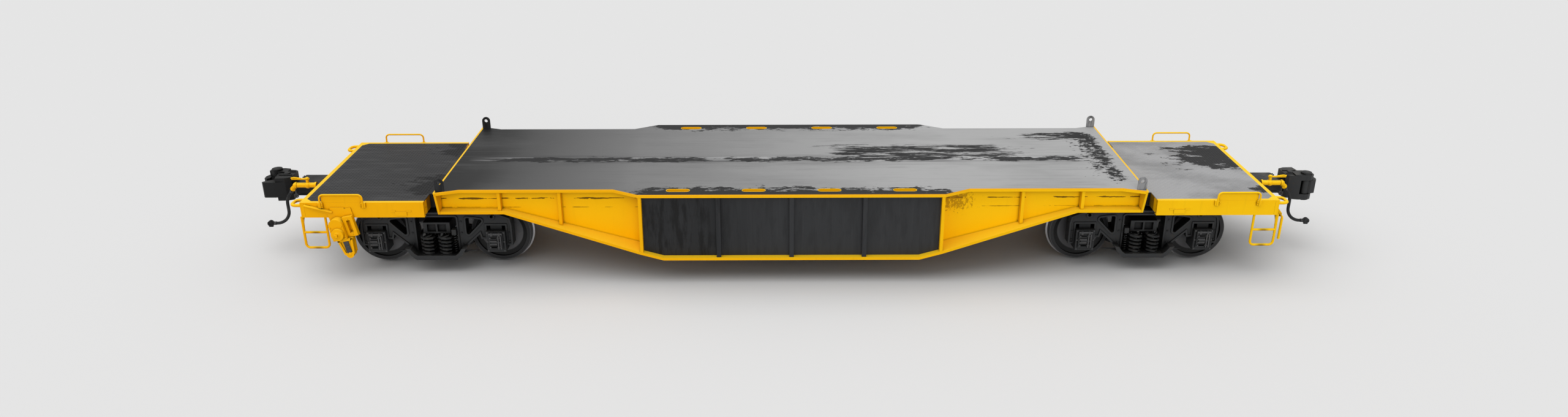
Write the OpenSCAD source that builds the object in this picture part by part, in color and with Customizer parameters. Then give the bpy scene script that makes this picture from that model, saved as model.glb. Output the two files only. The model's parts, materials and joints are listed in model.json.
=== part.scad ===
// Heavy flat wagon with fishbelly side girders, low end platforms and a pair of
// three-piece bogies. X runs along the wagon, Z is up, Z = 0 is under the wheel flanges.

/* [Deck] */
// Length of the loading deck
deck_len = 10328; // [9900:2:10600]
// Height of the deck's top over the bogies' centre plates
deck_rise = 715; // [690:1:760]
// Thickness of the deck plate
deck_t = 20; // [12:1:28]
// Width of the deck over its middle
deck_mid_w = 3200; // [3000:2:3400]
// How far the deck's necks lie inside its middle, on each side
neck_inset = 217; // [195:1:230]
// How far the deck's ends lie inside its middle, on each side
end_inset = 92; // [60:1:120]
// Half length of the wide middle
mid_half = 2214; // [2150:1:2300]
// Length of the taper from the middle to a neck
taper_len = 376; // [300:1:450]
// Length of the flare at each end of the deck
flare_len = 342; // [260:1:420]
// Distance from the middle of an end stake pocket to the post beside it
pocket_end_gap = 523.5; // [450:0.5:600]
// Length of a stake pocket
pocket_len = 330; // [260:2:380]
// Width of a stake pocket
pocket_w = 100; // [80:2:120]

/* [Girders] */
// Depth of the girder at its belly, from the deck's top
belly_h = 1036; // [980:1:1070]
// Depth of the girder at its ends, from the deck's top
girder_end_h = 386; // [345:1:410]
// How far the flat belly ends inside the posts
belly_inset = 338; // [260:1:420]
// Length of the girder's shallow ends
shallow_len = 960; // [920:1:1060]
// Thickness of the girder's top flange
top_flange_t = 30; // [20:1:40]
// Thickness of the girder's bottom flange
low_flange_t = 40; // [30:1:50]
// How far the web lies behind the neck's edge
web_recess = 140; // [110:1:150]
// Thickness of the web
web_t = 20; // [14:1:26]
// Distance of the inner web stiffener from the deck's end
stiff_in_len = 1774; // [1680:1:1860]
// Distance of the outer web stiffener from the deck's end
stiff_out_len = 894; // [800:1:910]
// Width of a web stiffener
stiff_w = 45; // [30:1:60]
// How far the dark side panel lies behind the middle's edge
panel_recess = 95; // [85:1:110]
// Thickness of the dark side panel
panel_t = 12; // [8:1:16]
// Spacing of the panel's ribs
rib_pitch = 1065; // [950:1:1150]

/* [Platforms] */
// Length of an end platform
platform_len = 1798; // [1740:1:1880]
// Gap between the deck and the platform's frame
platform_gap = 213; // [180:1:240]
// How far the platforms lie below the deck's top
platform_drop = 212; // [190:1:230]
// How far the platform's sides lie inside the deck's necks
platform_inset = 43; // [20:1:70]
// Depth of the platform's sills
sill_h = 236; // [200:1:250]
// Width of the platform's sills
sill_w = 60; // [50:1:80]
// Thickness of the tread plate
tread_t = 12; // [8:1:16]
// How far the plate between platform and deck lies inside the platform's sides
neck_notch = 340; // [290:1:390]

/* [Bogies] */
// Distance of the bogie's pivot from the platform's frame
bogie_inset = 70; // [50:1:90]
// Distance between a bogie's axles
wheelbase = 1778; // [1740:1:1800]
// Radius of the wheel tread
tread_r = 457; // [440:1:460]
// Height of the wheel flange
flange_h = 28; // [25:0.5:30]
// Distance between the backs of the wheels
wheel_back = 1346; // [1340:1:1360]
// Width of the wheel rim
rim_w = 145; // [130:1:150]
// Distance of the journals from the backs of the wheels
journal_set = 330; // [322:1:340]
// Radius of the journals
journal_r = 82; // [75:1:88]

/* [Couplers] */
// Height of the coupler's centre line over the axles
coupler_rise = 465; // [455:1:470]
// How far the coupler's pivot lies inside the end sill
coupler_inset = 115; // [95:1:135]
// Distance from the coupler's pivot to its horn
horn_x = 720; // [700:1:740]

/* [Hidden] */
$fn = 48;
corner_steps = 5;

// Paint and metal as the wagon shows them
yellow = "#f2b20a";
black = "#26272a";
deck_grey = "#777879";
tread_grey = "#55575a";
cast_black = "#2d2e30";
steel = "#6b6c6e";
rubber = "#1b1c1d";

// Clearances: cuts overrun, seats of still pieces, running fits, moving neighbours
cut = 1;
seat_gap = 0.3;
run_gap = 0.05;
move_gap = 6;

// Heights over the floor
axle_z = tread_r + flange_h;
center_plate_rise = 205;
center_plate_z = axle_z + center_plate_rise;
coupler_z = axle_z + coupler_rise;
deck_top = center_plate_z + deck_rise;
deck_under = deck_top - deck_t;
flange_under = deck_under - top_flange_t;
belly_z = deck_top - belly_h;
girder_end_z = deck_top - girder_end_h;
platform_top = deck_top - platform_drop;
platform_under = platform_top - tread_t;
sill_low = platform_top - sill_h;

// Places along the wagon, from its middle
deck_half = deck_len / 2;
neck_in_x = mid_half + taper_len;
neck_out_x = deck_half - flare_len;
belly_half = mid_half - belly_inset;
belly_out_x = deck_half - shallow_len;
stiff_in_x = deck_half - stiff_in_len;
stiff_out_x = deck_half - stiff_out_len;
platform_in_x = deck_half + platform_gap;
wagon_half = platform_in_x + platform_len;
bogie_x = platform_in_x - bogie_inset;
coupler_pivot_x = wagon_half - coupler_inset;

// Widths of the deck's necks and ends, the platforms and the plates between
deck_neck_w = deck_mid_w - 2 * neck_inset;
deck_end_w = deck_mid_w - 2 * end_inset;
platform_w = deck_neck_w - 2 * platform_inset;
neck_plate_w = platform_w - 2 * neck_notch;

// Girders and stake pockets
bulkhead_t = 30;
girder_half = deck_half - bulkhead_t;
web_y = deck_neck_w / 2 - web_recess;
web_in_y = web_y - web_t;
post_t = 45;
post_in_x = mid_half - post_t;
weld = 5;
stiff_margin = 30;
panel_y = deck_mid_w / 2 - panel_recess;
rib_w = 65;
rib_depth = 75;
liner_t = 8;
liner_depth = 130;
pocket_count = 4;
pocket_pitch = 2 * (post_in_x - pocket_end_gap) / (pocket_count - 1);
pocket_gap = 7;
pocket_y = panel_y - panel_t - pocket_gap - liner_t - pocket_w / 2;

// Center sill, crossbearers and bolsters
sill_half_w = 165;
center_plate_t = 70;
center_sill_low = center_plate_z + center_plate_t;
draft_wall = 25;
draft_len = 420;
bearer_t = 24;
bearer_h = 595;
bearer_low = deck_under - bearer_h;
bearer_end_h = 273;
bearer_high = deck_under - bearer_end_h;
bearer_foot_w = 160;
bearer_foot_t = 20;
wing_deep = 265;
wing_deep_y = sill_half_w + wing_deep;
wing_flat = 170;
wing_rise_y = neck_plate_w / 2 - wing_flat;
wing_t = 203;
wing_high_z = platform_under - wing_t;
center_plate_r = 190;
king_pin_r = 28;
king_pin_len = 90;
bearer_pad_y = 635;
bearer_pad_w = 150;
bearer_pad_len = 200;
bearer_pad_rise = 110;
bearer_pad_top = center_plate_z + bearer_pad_rise;

// Platforms
sill_wall = 16;
beam_w = 70;
beam_h = 69;
beam_low = platform_under - beam_h;
beam_x = (platform_in_x + wagon_half) / 2;
transom_w = 50;
gusset = 90;

// Steps, hand irons, loops and lugs
iron_r = 13;
iron_w = 620;
iron_h = 205;
iron_bend = 60;
iron_foot = 75;
iron_foot_w = 70;
iron_foot_t = 12;
iron_near_inset = 617;
iron_near_x = wagon_half - iron_near_inset;
iron_far_inset = 725;
iron_far_x = wagon_half - iron_far_inset;
step_r = 18;
step_w = 345;
step_drop = 490;
step_bend = 60;
step_rung_drop = 245;
step_inset = 157;
step_x = wagon_half - step_inset;
step_plate_w = 150;
step_plate_h = 150;
step_plate_t = 14;
loop_r = 16;
loop_w = 210;
loop_out = 150;
loop_bend = 70;
loop_drop = 60;
loop_inset = 145;
loop_y = platform_w / 2 - loop_inset;
lug_w = 130;
lug_h = 195;
lug_t = 24;
lug_hole_r = 28;
lug_inset_x = 84;
lug_x = deck_half - lug_inset_x;
lug_inset_y = 63;
lug_y = deck_end_w / 2 - lug_inset_y;

// Strikers and uncoupling levers
striker_w = 380;
striker_h = 200;
striker_out = 535;
striker_wall_y = 40;
striker_wall_z = 30;
striker_round = 45;
lever_r = 14;
lever_out = 143;
lever_x = wagon_half + lever_out;
lever_inset = 140;
lever_y = platform_w / 2 - lever_inset;
lever_in_y = 270;
lever_below = 80;
lever_z = coupler_z - lever_below;
lever_drop = 350;
lever_bracket_t = 16;
lever_bracket_y = 430;
lever_bracket_in = 80;
lever_collar = 24;

// Train pipe, angle cocks and hoses
pipe_r = 21;
pipe_y = 340;
pipe_below = 113;
pipe_z = platform_top - pipe_below;
cock_out = 465;
cock_x = wagon_half + cock_out;
cock_r = 40;
cock_body_len = 330;
cock_collar_r = 49;
cock_collar = 26;
cock_key_back = 195;
cock_key_r = 24;
cock_seat_r = 52;
nipple_len = 100;
nipple_tilt = 53;
nipple_r = 33;
cock_key_h = 95;
cock_handle_len = 270;
cock_handle_w = 34;
cock_handle_t = 16;
hose_r = 24;
hose_sides = 10;
hose_arc_steps = 4;
hose_lead = 100;
hose_bend_r = 250;
hose_fall = 110;
hose_sweep_r = 215;
hose_tail = 45;
gladhand_neck = 34;
gladhand_r = 44;
gladhand_t = 56;

// Hand brake on the near side of the left platform
brake_inset = 535;
brake_x = wagon_half - brake_inset;
brake_below = 383;
brake_z = platform_top - brake_below;
brake_tilt = 11;
brake_back_t = 14;
drum_w = 210;
drum_h = 330;
drum_d = 120;
gear_r = 92;
gear_d = 165;
gear_rise = 102;
guide_u = 180;
guide_w = 150;
guide_slot_w = 56;
guide_h = 310;
guide_d = 60;
clevis_u = 60;
clevis_top_w = 230;
clevis_low_w = 150;
clevis_h = 300;
clevis_d = 110;
clevis_gap = 60;
sheave_r = 58;
brace_w = 60;
brace_drop = 50;

// Air brake gear under the deck
tank_r = 200;
tank_len = 640;
tank_y = 720;
tank_below = 265;
tank_z = deck_under - tank_below;
tank_dome = 90;
// Share of the radius and of the dome's depth at the knee of a dished end
dish_shares = [0.62, 0.3];
strap_w = 60;
strap_t = 70;
valve_w = 260;
valve_h = 300;
valve_d = 220;
valve_neck_h = 120;
valve_neck_w = 150;
valve_cap_r = 85;
valve_cap_len = 60;
cylinder_r = 150;
cylinder_len = 420;
cylinder_rod_r = 22;
cylinder_rod_len = 210;
cylinder_flange_r = 172;
cylinder_flange_t = 24;
cylinder_nose = 90;

// Wheels and axles
wheel_in = wheel_back / 2;
journal_y = wheel_in + journal_set;
axle_r = 92;
hub_r = 150;
hub_back = 33;
hub_len = 212;
plate_t = 34;
plate_set = 39;
rim_t = 66;
rim_plate_set = 69;
flange_t = 34;
tread_drop = 6;
axle_tail = 147;
axle_end = journal_y + axle_tail;

// Journal boxes
box_w = 280;
box_h = 330;
box_back = 113;
box_in = journal_y - box_back;
box_front = 165;
box_out = journal_y + box_front;
box_lid_w = 210;
box_lid_h = 230;
box_lid_t = 26;
box_rib_h = 22;
box_rib_t = 14;
box_rib_count = 3;

// Bogie side frames, springs and bolster
frame_t = 170;
frame_drop = 257;
frame_h = 704;
frame_low = axle_z - frame_drop;
frame_top = frame_low + frame_h;
frame_rib = 26;
seat_t = 64;
seat_z = frame_low + seat_t;
seat_w = 480;
seat_half = 300;
window_half = 305;
window_crown = 74;
window_top = frame_top - window_crown;
leg_w = 95;
crown_w = 170;
crown_h = 70;
jaw_top = axle_z + box_h / 2 + crown_h;
jaw_half = box_w / 2 + seat_gap;
frame_eye_r = 24;
frame_eye_shares = [0.94, 0.9];
coil_r = 96;
wire_r = 19;
coil_turns = 4.5;
coil_steps = 10;
wire_sides = 6;
coil_pitch_x = 262;
coil_pitch_y = 238;
spring_h = 300;
bolster_w = 400;
bolster_end_low = seat_z + spring_h;
bolster_end_h = 173;
bolster_end_top = bolster_end_low + bolster_end_h;
bowl_lip = 14;
bolster_mid_h = 206;
bolster_mid_top = center_plate_z - bowl_lip;
bolster_mid_low = bolster_mid_top - bolster_mid_h;
bolster_end = journal_y + frame_t / 2;
bolster_slope_in = 420;
bolster_slope = 243;
bolster_slope_out = journal_y - bolster_slope;
bolster_step = 138;
bolster_step_y = journal_y - bolster_step;
bolster_pocket_w = 130;
bolster_pocket_d = 45;
bolster_wall = 26;
bowl_r = 235;

// Brake beams
shoe_gap = 8;
shoe_t = 46;
shoe_w = 86;
shoe_span = 34;
bar_r = 27;
bar_drop = 40;

// Coupler head and knuckle
shank_w = 130;
shank_h = 128;
coupler_pin_r = 40;
head_len = 430;
head_w = 440;
head_h = 374;
guard_h = 250;
lug_top = 205;
lug_boss_r = 84;
lug_boss_h = 212;
knuckle_pin_r = 20;
knuckle_h = 216;
knuckle_r = 70;
knuckle_slot = 12;
cap_r = 80;
cap_t = 18;

// Outlines of the coupler from above: columns are shares of head_len and head_w / 2
// The whole head with its guard arm, anticlockwise from the horn
head_shares = [
    [0, -0.66], [0.1, -0.8], [0.5, -0.98], [0.86, -0.98], [0.98, -0.8], [0.98, -0.42],
    [0.78, -0.3], [0.62, -0.1], [0.6, 0.1], [0.7, 0.4], [0.94, 0.66], [1.03, 0.86],
    [0.97, 1], [0.6, 1], [0.2, 0.86], [0, 0.66]
];
// The deep back of the head, behind the mouth
back_shares = [
    [0, -0.66], [0.1, -0.8], [0.5, -0.98], [0.6, -0.6], [0.6, 0.1], [0.54, 0.9], [0.2, 0.86], [0, 0.66]
];
// The lugs over and under the knuckle
lug_shares = [
    [0.3, -0.88], [0.5, -0.98], [0.86, -0.98], [0.98, -0.8], [0.98, -0.42], [0.78, -0.3], [0.3, -0.2]
];
knuckle_pin_shares = [0.74, -0.62];
// The knuckle's arm from its pin
knuckle_shares = [
    [-0.08, 0.3], [-0.1, -0.1], [0.16, -0.3], [0.36, -0.16], [0.42, 0.12], [0.4, 0.52],
    [0.3, 0.62], [0.22, 0.5], [0.2, 0.3]
];
// Outline of the side frame past the window: columns are shares of wheelbase / 2 and of its height
frame_end_shares = [[0.78, 1], [1.06, 0.95], [1.24, 0.86]];
frame_low_shares = [[0.74, 0.39], [0.72, 0.5], [0.5, 0.24], [0.42, 0.1], [0.31, 0]];
frame_hole_shares = [[0.5, 0.88], [0.8, 0.83], [0.5, 0.44]];

// Points on a rounded corner and a whole rounded outline
function unit(v) = v / norm(v);
function corner(a, b, c, r) =
    let(u = unit(a - b), v = unit(c - b), half = acos(u * v) / 2)
    let(mid = b + unit(u + v) * r / sin(half), p = b + u * r / tan(half) - mid)
    let(side = sign(u[0] * v[1] - u[1] * v[0]), sweep = side * (180 - 2 * half))
    [for (i = [0:corner_steps]) let(t = -sweep * i / corner_steps)
        mid + [p[0] * cos(t) - p[1] * sin(t), p[0] * sin(t) + p[1] * cos(t)]];
function rounded(pts, r) = let(n = len(pts))
    [for (i = [0:n - 1]) each corner(pts[(i + n - 1) % n], pts[i], pts[(i + 1) % n], r)];
function shares_at(shares, sx, sy, ox = 0, oy = 0) =
    [for (p = shares) [ox + p[0] * sx, oy + p[1] * sy]];
function reversed(list) = [for (i = [len(list) - 1:-1:0]) list[i]];
function flip_x(pts) = [for (p = reversed(pts)) [-p[0], p[1]]];
function flip_y(pts) = [for (p = reversed(pts)) [p[0], -p[1]]];
function between(x, x0, y0, x1, y1) = y0 + (y1 - y0) * (x - x0) / (x1 - x0);

// Half width of the deck and the height of the girder's underside along the wagon
function flare(x) = between(x, neck_out_x, deck_neck_w / 2, deck_half, deck_end_w / 2);
function belly(x) = between(x, belly_half, belly_z, belly_out_x, girder_end_z);
function deck_edge(end_x) = let(right = [
        [end_x, flare(end_x)], [neck_out_x, deck_neck_w / 2],
        [neck_in_x, deck_neck_w / 2], [mid_half, deck_mid_w / 2]
    ]) concat(right, flip_x(right));
function deck_plan() = concat(deck_edge(deck_half), flip_y(deck_edge(deck_half)));

module both_ends() {
    children();
    mirror([1, 0, 0]) children();
}

module both_sides() {
    children();
    mirror([0, 1, 0]) children();
}

// Extrudes an outline of X and Z across Y, from y0 to y1
module across(y0, y1) {
    translate([0, y1, 0])
        rotate([90, 0, 0])
            linear_extrude(y1 - y0) children();
}

// Extrudes an outline of Y and Z along X, from x0 to x1
module along(x0, x1) {
    translate([x0, 0, 0])
        rotate([90, 0, 90])
            linear_extrude(x1 - x0) children();
}

module block(low, high) {
    translate(low) cube(high - low);
}

module rod_x(x0, x1, r) {
    translate([x0, 0, 0]) rotate([0, 90, 0]) cylinder(r = r, h = x1 - x0);
}

module rod_y(y0, y1, r) {
    translate([0, y1, 0]) rotate([90, 0, 0]) cylinder(r = r, h = y1 - y0);
}

// A bar bent to an upside-down U in the XZ plane, its feet at Z = 0
module bent_bar(w, h, bend, r) {
    both_ends() {
        translate([w / 2, 0, 0]) cylinder(r = r, h = h - bend);
        translate([w / 2 - bend, 0, h - bend])
            rotate([90, 0, 0])
                rotate_extrude(angle = 90) translate([bend, 0]) circle(r);
    }
    translate([0, 0, h]) rod_x(bend - w / 2, w / 2 - bend, r);
}

module stadium(l, w) {
    square([l - w, w], center = true);
    for (s = [-1, 1])
        translate([s * (l - w) / 2, 0]) circle(d = w);
}

module at_pockets() {
    for (i = [0:pocket_count - 1], s = [-1, 1])
        translate([(i - (pocket_count - 1) / 2) * pocket_pitch, s * pocket_y, 0]) children();
}

module pocket_holes(z0, z1) {
    at_pockets()
        translate([0, 0, z0])
            linear_extrude(z1 - z0)
                stadium(pocket_len + 2 * (liner_t + seat_gap), pocket_w + 2 * (liner_t + seat_gap));
}

module train_pipe_hole() {
    translate([0, -pipe_y, pipe_z])
        rod_x(-wagon_half - cut, wagon_half + cut, pipe_r + seat_gap);
}

// Swept tubes: rings of points and the triangles between them
function ring(p, a, b, r, sides) =
    [for (j = [0:sides - 1]) let(t = 360 * j / sides - 90) p + r * (cos(t) * a + sin(t) * b)];
function tube_faces(rings, sides) = concat(
    [[for (j = [0:sides - 1]) j]],
    [for (i = [0:rings - 2], j = [0:sides - 1], k = [0, 1])
        let(a = i * sides + j, b = i * sides + (j + 1) % sides)
        k == 0 ? [a, a + sides, b] : [b, a + sides, b + sides]],
    [[for (j = [sides - 1:-1:0]) (rings - 1) * sides + j]]
);

// Deck

module main_deck() {
    color(deck_grey)
        difference() {
            translate([0, 0, deck_under]) linear_extrude(deck_t) polygon(deck_plan());
            pocket_holes(deck_under - cut, deck_top + cut);
        }
}

// Stake pockets: sleeves open at both ends
module pocket_liners() {
    color(yellow)
        at_pockets()
            difference() {
                translate([0, 0, deck_top - liner_depth])
                    linear_extrude(liner_depth)
                        stadium(pocket_len + 2 * liner_t, pocket_w + 2 * liner_t);
                translate([0, 0, deck_top - liner_depth - cut])
                    linear_extrude(liner_depth + 2 * cut) stadium(pocket_len, pocket_w);
            }
}

// Side girders, drawn on the far side

function low_band() = let(right = [
        [girder_half, girder_end_z], [belly_out_x, girder_end_z], [belly_half, belly_z]
    ], lower = concat(right, flip_x(right)))
    concat(lower, [for (p = reversed(lower)) p + [0, low_flange_t]]);

function low_flange_plan() = let(right = [
        [girder_half, deck_neck_w / 2], [belly_out_x, deck_neck_w / 2], [mid_half, deck_mid_w / 2]
    ]) concat([[girder_half, web_in_y]], right, flip_x(right), [[-girder_half, web_in_y]]);

// Outline between the flanges from x0 to x1, on one slope of the belly or on its end
function web_outline(x0, x1) = concat(
    [[x0, flange_under + weld], [x1, flange_under + weld]],
    [[x1, (x1 > belly_out_x ? girder_end_z : belly(x1)) + low_flange_t - weld]],
    x1 > belly_out_x && x0 < belly_out_x ? [[belly_out_x, girder_end_z + low_flange_t - weld]] : [],
    [[x0, (x0 > belly_out_x ? girder_end_z : belly(x0)) + low_flange_t - weld]]
);

// Top flange from above: the stake pockets' strip behind the side panel is left to the deck plate
function top_flange_plan() = let(inner = [
        [post_in_x - weld, panel_y - panel_t], [post_in_x - weld, web_in_y], [girder_half, web_in_y]
    ]) concat(inner, deck_edge(girder_half), flip_x(inner));

module girder() {
    translate([0, 0, flange_under]) linear_extrude(top_flange_t) polygon(top_flange_plan());
    intersection() {
        across(web_in_y, deck_mid_w / 2) polygon(low_band());
        linear_extrude(deck_top) polygon(low_flange_plan());
    }
    both_ends() {
        across(web_in_y, web_y) polygon(web_outline(mid_half - weld, girder_half));
        across(web_in_y, deck_mid_w / 2 - weld) polygon(web_outline(post_in_x, mid_half));
        for (x = [stiff_in_x, stiff_out_x])
            across(web_y - weld, deck_neck_w / 2 - stiff_margin)
                polygon(web_outline(x - stiff_w / 2, x + stiff_w / 2));
    }
}

module girder_far() {
    color(yellow) girder();
}

module girder_near() {
    color(yellow) mirror([0, 1, 0]) girder();
}

module side_panel() {
    right = [
        [post_in_x, flange_under], [post_in_x, belly(post_in_x) + low_flange_t],
        [belly_half, belly_z + low_flange_t]
    ];
    across(panel_y - panel_t, panel_y) polygon(concat(right, flip_x(right)));
    for (i = [-1:1])
        block(
            [i * rib_pitch - rib_w / 2, panel_y, belly_z + low_flange_t],
            [i * rib_pitch + rib_w / 2, panel_y + rib_depth, flange_under]
        );
}

module side_panel_far() {
    color(black) side_panel();
}

module side_panel_near() {
    color(black) mirror([0, 1, 0]) side_panel();
}

module bulkheads() {
    top_y = flare(girder_half);
    color(yellow)
        both_ends()
            difference() {
                along(girder_half, deck_half)
                    polygon([
                        [-deck_neck_w / 2, girder_end_z], [deck_neck_w / 2, girder_end_z],
                        [top_y, deck_under], [-top_y, deck_under]
                    ]);
                block(
                    [girder_half - cut, -sill_half_w - seat_gap, girder_end_z - cut],
                    [deck_half + cut, sill_half_w + seat_gap, platform_under + seat_gap]
                );
                train_pipe_hole();
            }
}

// Underframe

module center_sill() {
    end_x = wagon_half - sill_w;
    right = [
        [girder_half - seat_gap, deck_under], [girder_half - seat_gap, platform_under],
        [end_x, platform_under], [end_x, center_sill_low]
    ];
    color(yellow) {
        difference() {
            across(-sill_half_w, sill_half_w) polygon(concat(right, flip_x(right)));
            both_ends()
                block(
                    [end_x - draft_len, draft_wall - sill_half_w, coupler_z - shank_h / 2 - move_gap],
                    [end_x + cut, sill_half_w - draft_wall, coupler_z + shank_h / 2 + move_gap]
                );
        }
        both_ends()
            translate([coupler_pivot_x, 0, center_sill_low])
                cylinder(r = coupler_pin_r, h = platform_under - center_sill_low);
    }
}

// One crossbearer arm, from the center sill to the girder or the side panel
module bearer_arm(x, low, reach) {
    block([x - bearer_t / 2, sill_half_w, low], [x + bearer_t / 2, reach, deck_under]);
    block([x - bearer_foot_w / 2, sill_half_w, low], [x + bearer_foot_w / 2, reach, low + bearer_foot_t]);
}

module cross_bearers() {
    color(yellow)
        difference() {
            union() {
                both_sides() {
                    for (i = [-1:1])
                        bearer_arm(i * rib_pitch, bearer_low, panel_y - panel_t);
                    both_ends() {
                        bearer_arm(stiff_in_x, bearer_low, web_in_y);
                        bearer_arm(stiff_out_x, bearer_high, web_in_y);
                    }
                }
            }
            train_pipe_hole();
        }
}

module bolster_wing() {
    wing = [
        [sill_half_w, center_sill_low], [wing_deep_y, center_sill_low],
        [wing_rise_y, wing_high_z], [neck_plate_w / 2, wing_high_z],
        [neck_plate_w / 2, platform_under], [sill_half_w, platform_under]
    ];
    along(deck_half, platform_in_x) polygon(wing);
    block(
        [bogie_x - bearer_pad_len / 2, bearer_pad_y - bearer_pad_w / 2, bearer_pad_top],
        [platform_in_x, bearer_pad_y + bearer_pad_w / 2, wing_high_z]
    );
}

module body_bolsters() {
    color(cast_black)
        both_ends() {
            difference() {
                both_sides() bolster_wing();
                train_pipe_hole();
            }
            translate([bogie_x, 0, center_plate_z]) {
                cylinder(r = center_plate_r, h = center_sill_low - center_plate_z);
                translate([0, 0, -king_pin_len]) cylinder(r = king_pin_r, h = king_pin_len);
            }
        }
}

// End platforms

module sill_channel() {
    difference() {
        square([sill_w, sill_h]);
        translate([-cut, sill_wall]) square([sill_w - sill_wall + cut, sill_h - 2 * sill_wall]);
    }
}

module side_sills() {
    color(yellow)
        both_ends()
            both_sides()
                along(platform_in_x, wagon_half - sill_w)
                    translate([platform_w / 2 - sill_w, sill_low]) sill_channel();
}

module end_sills() {
    notch_top = coupler_z + striker_h / 2 + seat_gap;
    color(yellow)
        both_ends()
            difference() {
                across(-platform_w / 2, platform_w / 2)
                    translate([wagon_half - sill_w, sill_low]) sill_channel();
                block(
                    [wagon_half - sill_w - cut, -striker_w / 2 - seat_gap, sill_low - cut],
                    [wagon_half + cut, striker_w / 2 + seat_gap, notch_top]
                );
                train_pipe_hole();
            }
}

module platform_beams() {
    color(yellow)
        difference() {
            both_ends()
                both_sides() {
                    block(
                        [platform_in_x, sill_half_w, wing_high_z],
                        [platform_in_x + transom_w, platform_w / 2 - sill_w, platform_under]
                    );
                    block(
                        [beam_x - beam_w / 2, sill_half_w, beam_low],
                        [beam_x + beam_w / 2, platform_w / 2 - sill_w, platform_under]
                    );
                }
            train_pipe_hole();
        }
    color(yellow)
        both_ends()
            both_sides()
                translate([wagon_half - sill_w, platform_w / 2 - sill_w, platform_under])
                    linear_extrude(tread_t) polygon([[0, 0], [-gusset, 0], [0, -gusset]]);
}

module end_deck() {
    half = platform_w / 2 - sill_w;
    end_x = wagon_half - sill_w;
    edge = [
        [deck_half, neck_plate_w / 2], [platform_in_x, neck_plate_w / 2],
        [platform_in_x, half], [end_x - gusset, half], [end_x, half - gusset]
    ];
    translate([0, 0, platform_under])
        linear_extrude(tread_t) polygon(concat(edge, flip_y(edge)));
}

module end_deck_right() {
    color(tread_grey) end_deck();
}

module end_deck_left() {
    color(tread_grey) mirror([1, 0, 0]) end_deck();
}

// Steps, hand irons, loops and lugs

module sill_step() {
    side_y = platform_w / 2 - sill_w / 2;
    translate([step_x, side_y, sill_low]) {
        mirror([0, 0, 1]) bent_bar(step_w, step_drop, step_bend, step_r);
        translate([0, 0, -step_rung_drop]) rod_x(-step_w / 2, step_w / 2, step_r);
        difference() {
            across(-step_plate_w - step_r, -step_r)
                polygon([
                    [step_w / 2 - step_plate_t / 2, 0], [step_w / 2 + step_plate_t / 2, 0],
                    [step_w / 2 + step_plate_t / 2, -step_plate_h],
                    [step_w / 2 - step_plate_t / 2, -step_plate_h]
                ]);
            translate([step_w / 2, -step_plate_w - step_r, -step_plate_h])
                rotate([0, 90, 0])
                    cylinder(r = step_plate_h - step_r, h = step_plate_w, center = true);
        }
        translate([step_w / 2 - step_plate_t / 2, -step_r, -step_plate_h])
            cube([step_plate_t, step_r, step_plate_h]);
    }
}

module sill_steps() {
    color(yellow) both_ends() both_sides() sill_step();
}

module side_grab_iron() {
    bent_bar(iron_w, iron_h, iron_bend, iron_r);
    both_ends()
        translate([iron_w / 2 - iron_foot_w / 2, -iron_r - iron_foot_t, 0])
            cube([iron_foot_w, iron_foot_t + iron_r, iron_foot]);
}

module side_grab_irons() {
    face = platform_w / 2 + iron_r + iron_foot_t;
    base = platform_top - iron_foot;
    color(yellow)
        both_ends() {
            translate([iron_far_x, face, base]) side_grab_iron();
            mirror([0, 1, 0]) translate([iron_near_x, face, base]) side_grab_iron();
        }
}

module end_loops() {
    color(yellow)
        both_ends()
            both_sides()
                translate([wagon_half, loop_y, platform_top - loop_drop])
                    rotate([0, 90, 0])
                        rotate([0, 0, 90]) bent_bar(loop_w, loop_out, loop_bend, loop_r);
}

module lashing_lug() {
    difference() {
        union() {
            across(-lug_t / 2, lug_t / 2)
                translate([-lug_w / 2, 0]) square([lug_w, lug_h - lug_w / 2]);
            translate([0, 0, lug_h - lug_w / 2]) rod_y(-lug_t / 2, lug_t / 2, lug_w / 2);
        }
        translate([0, 0, lug_h - lug_w / 2]) rod_y(-lug_t, lug_t, lug_hole_r);
    }
}

module lashing_lugs() {
    color(black)
        both_ends() both_sides() translate([lug_x, lug_y, deck_top]) lashing_lug();
}

// Hand brake, in its own leaning frame on the near face of the left platform

module in_brake_frame() {
    translate([-brake_x, -platform_w / 2, brake_z]) rotate([0, -brake_tilt, 0]) children();
}

module hand_brake_bracket() {
    drop = platform_top - brake_z;
    plate_w = drum_w / 2 + guide_u + guide_w / 2;
    color(yellow)
        translate([0, -platform_w / 2, 0])
            across(-brake_back_t, 0) {
                translate([-brake_x, brake_z])
                    rotate(brake_tilt)
                        translate([-drum_w / 2, -drum_h / 2])
                            square([plate_w, drop + (drum_h - sill_h) / 2]);
                translate([-brake_x - drum_w / 2, platform_top - drum_w])
                    square([drum_w, drum_w - iron_foot]);
                polygon([
                    [-step_x, platform_top - brace_drop - brace_w], [-brake_x, platform_top - drum_w],
                    [-brake_x, platform_top - drum_w + brace_w], [-step_x, platform_top - brace_drop]
                ]);
            }
}

module hand_brake_housing() {
    color(yellow)
        in_brake_frame()
            translate([0, -brake_back_t, 0]) {
                block([-drum_w / 2, -drum_d, -drum_h / 2], [drum_w / 2, 0, drum_h / 2 - drum_w / 2]);
                translate([0, 0, drum_h / 2 - drum_w / 2]) rod_y(-drum_d, 0, drum_w / 2);
                translate([0, 0, gear_rise - drum_h / 2]) rod_y(-gear_d, -drum_d, gear_r);
            }
}

module hand_brake_guide() {
    color(yellow)
        in_brake_frame()
            translate([guide_u, -brake_back_t, 0])
                difference() {
                    block([-guide_w / 2 + seat_gap, -guide_d, -guide_h / 2], [guide_w / 2, 0, guide_h / 2]);
                    block(
                        [-guide_slot_w / 2, -guide_d - cut, guide_slot_w - guide_h / 2],
                        [guide_slot_w / 2, cut, guide_h / 2 - guide_slot_w]
                    );
                }
}

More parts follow.
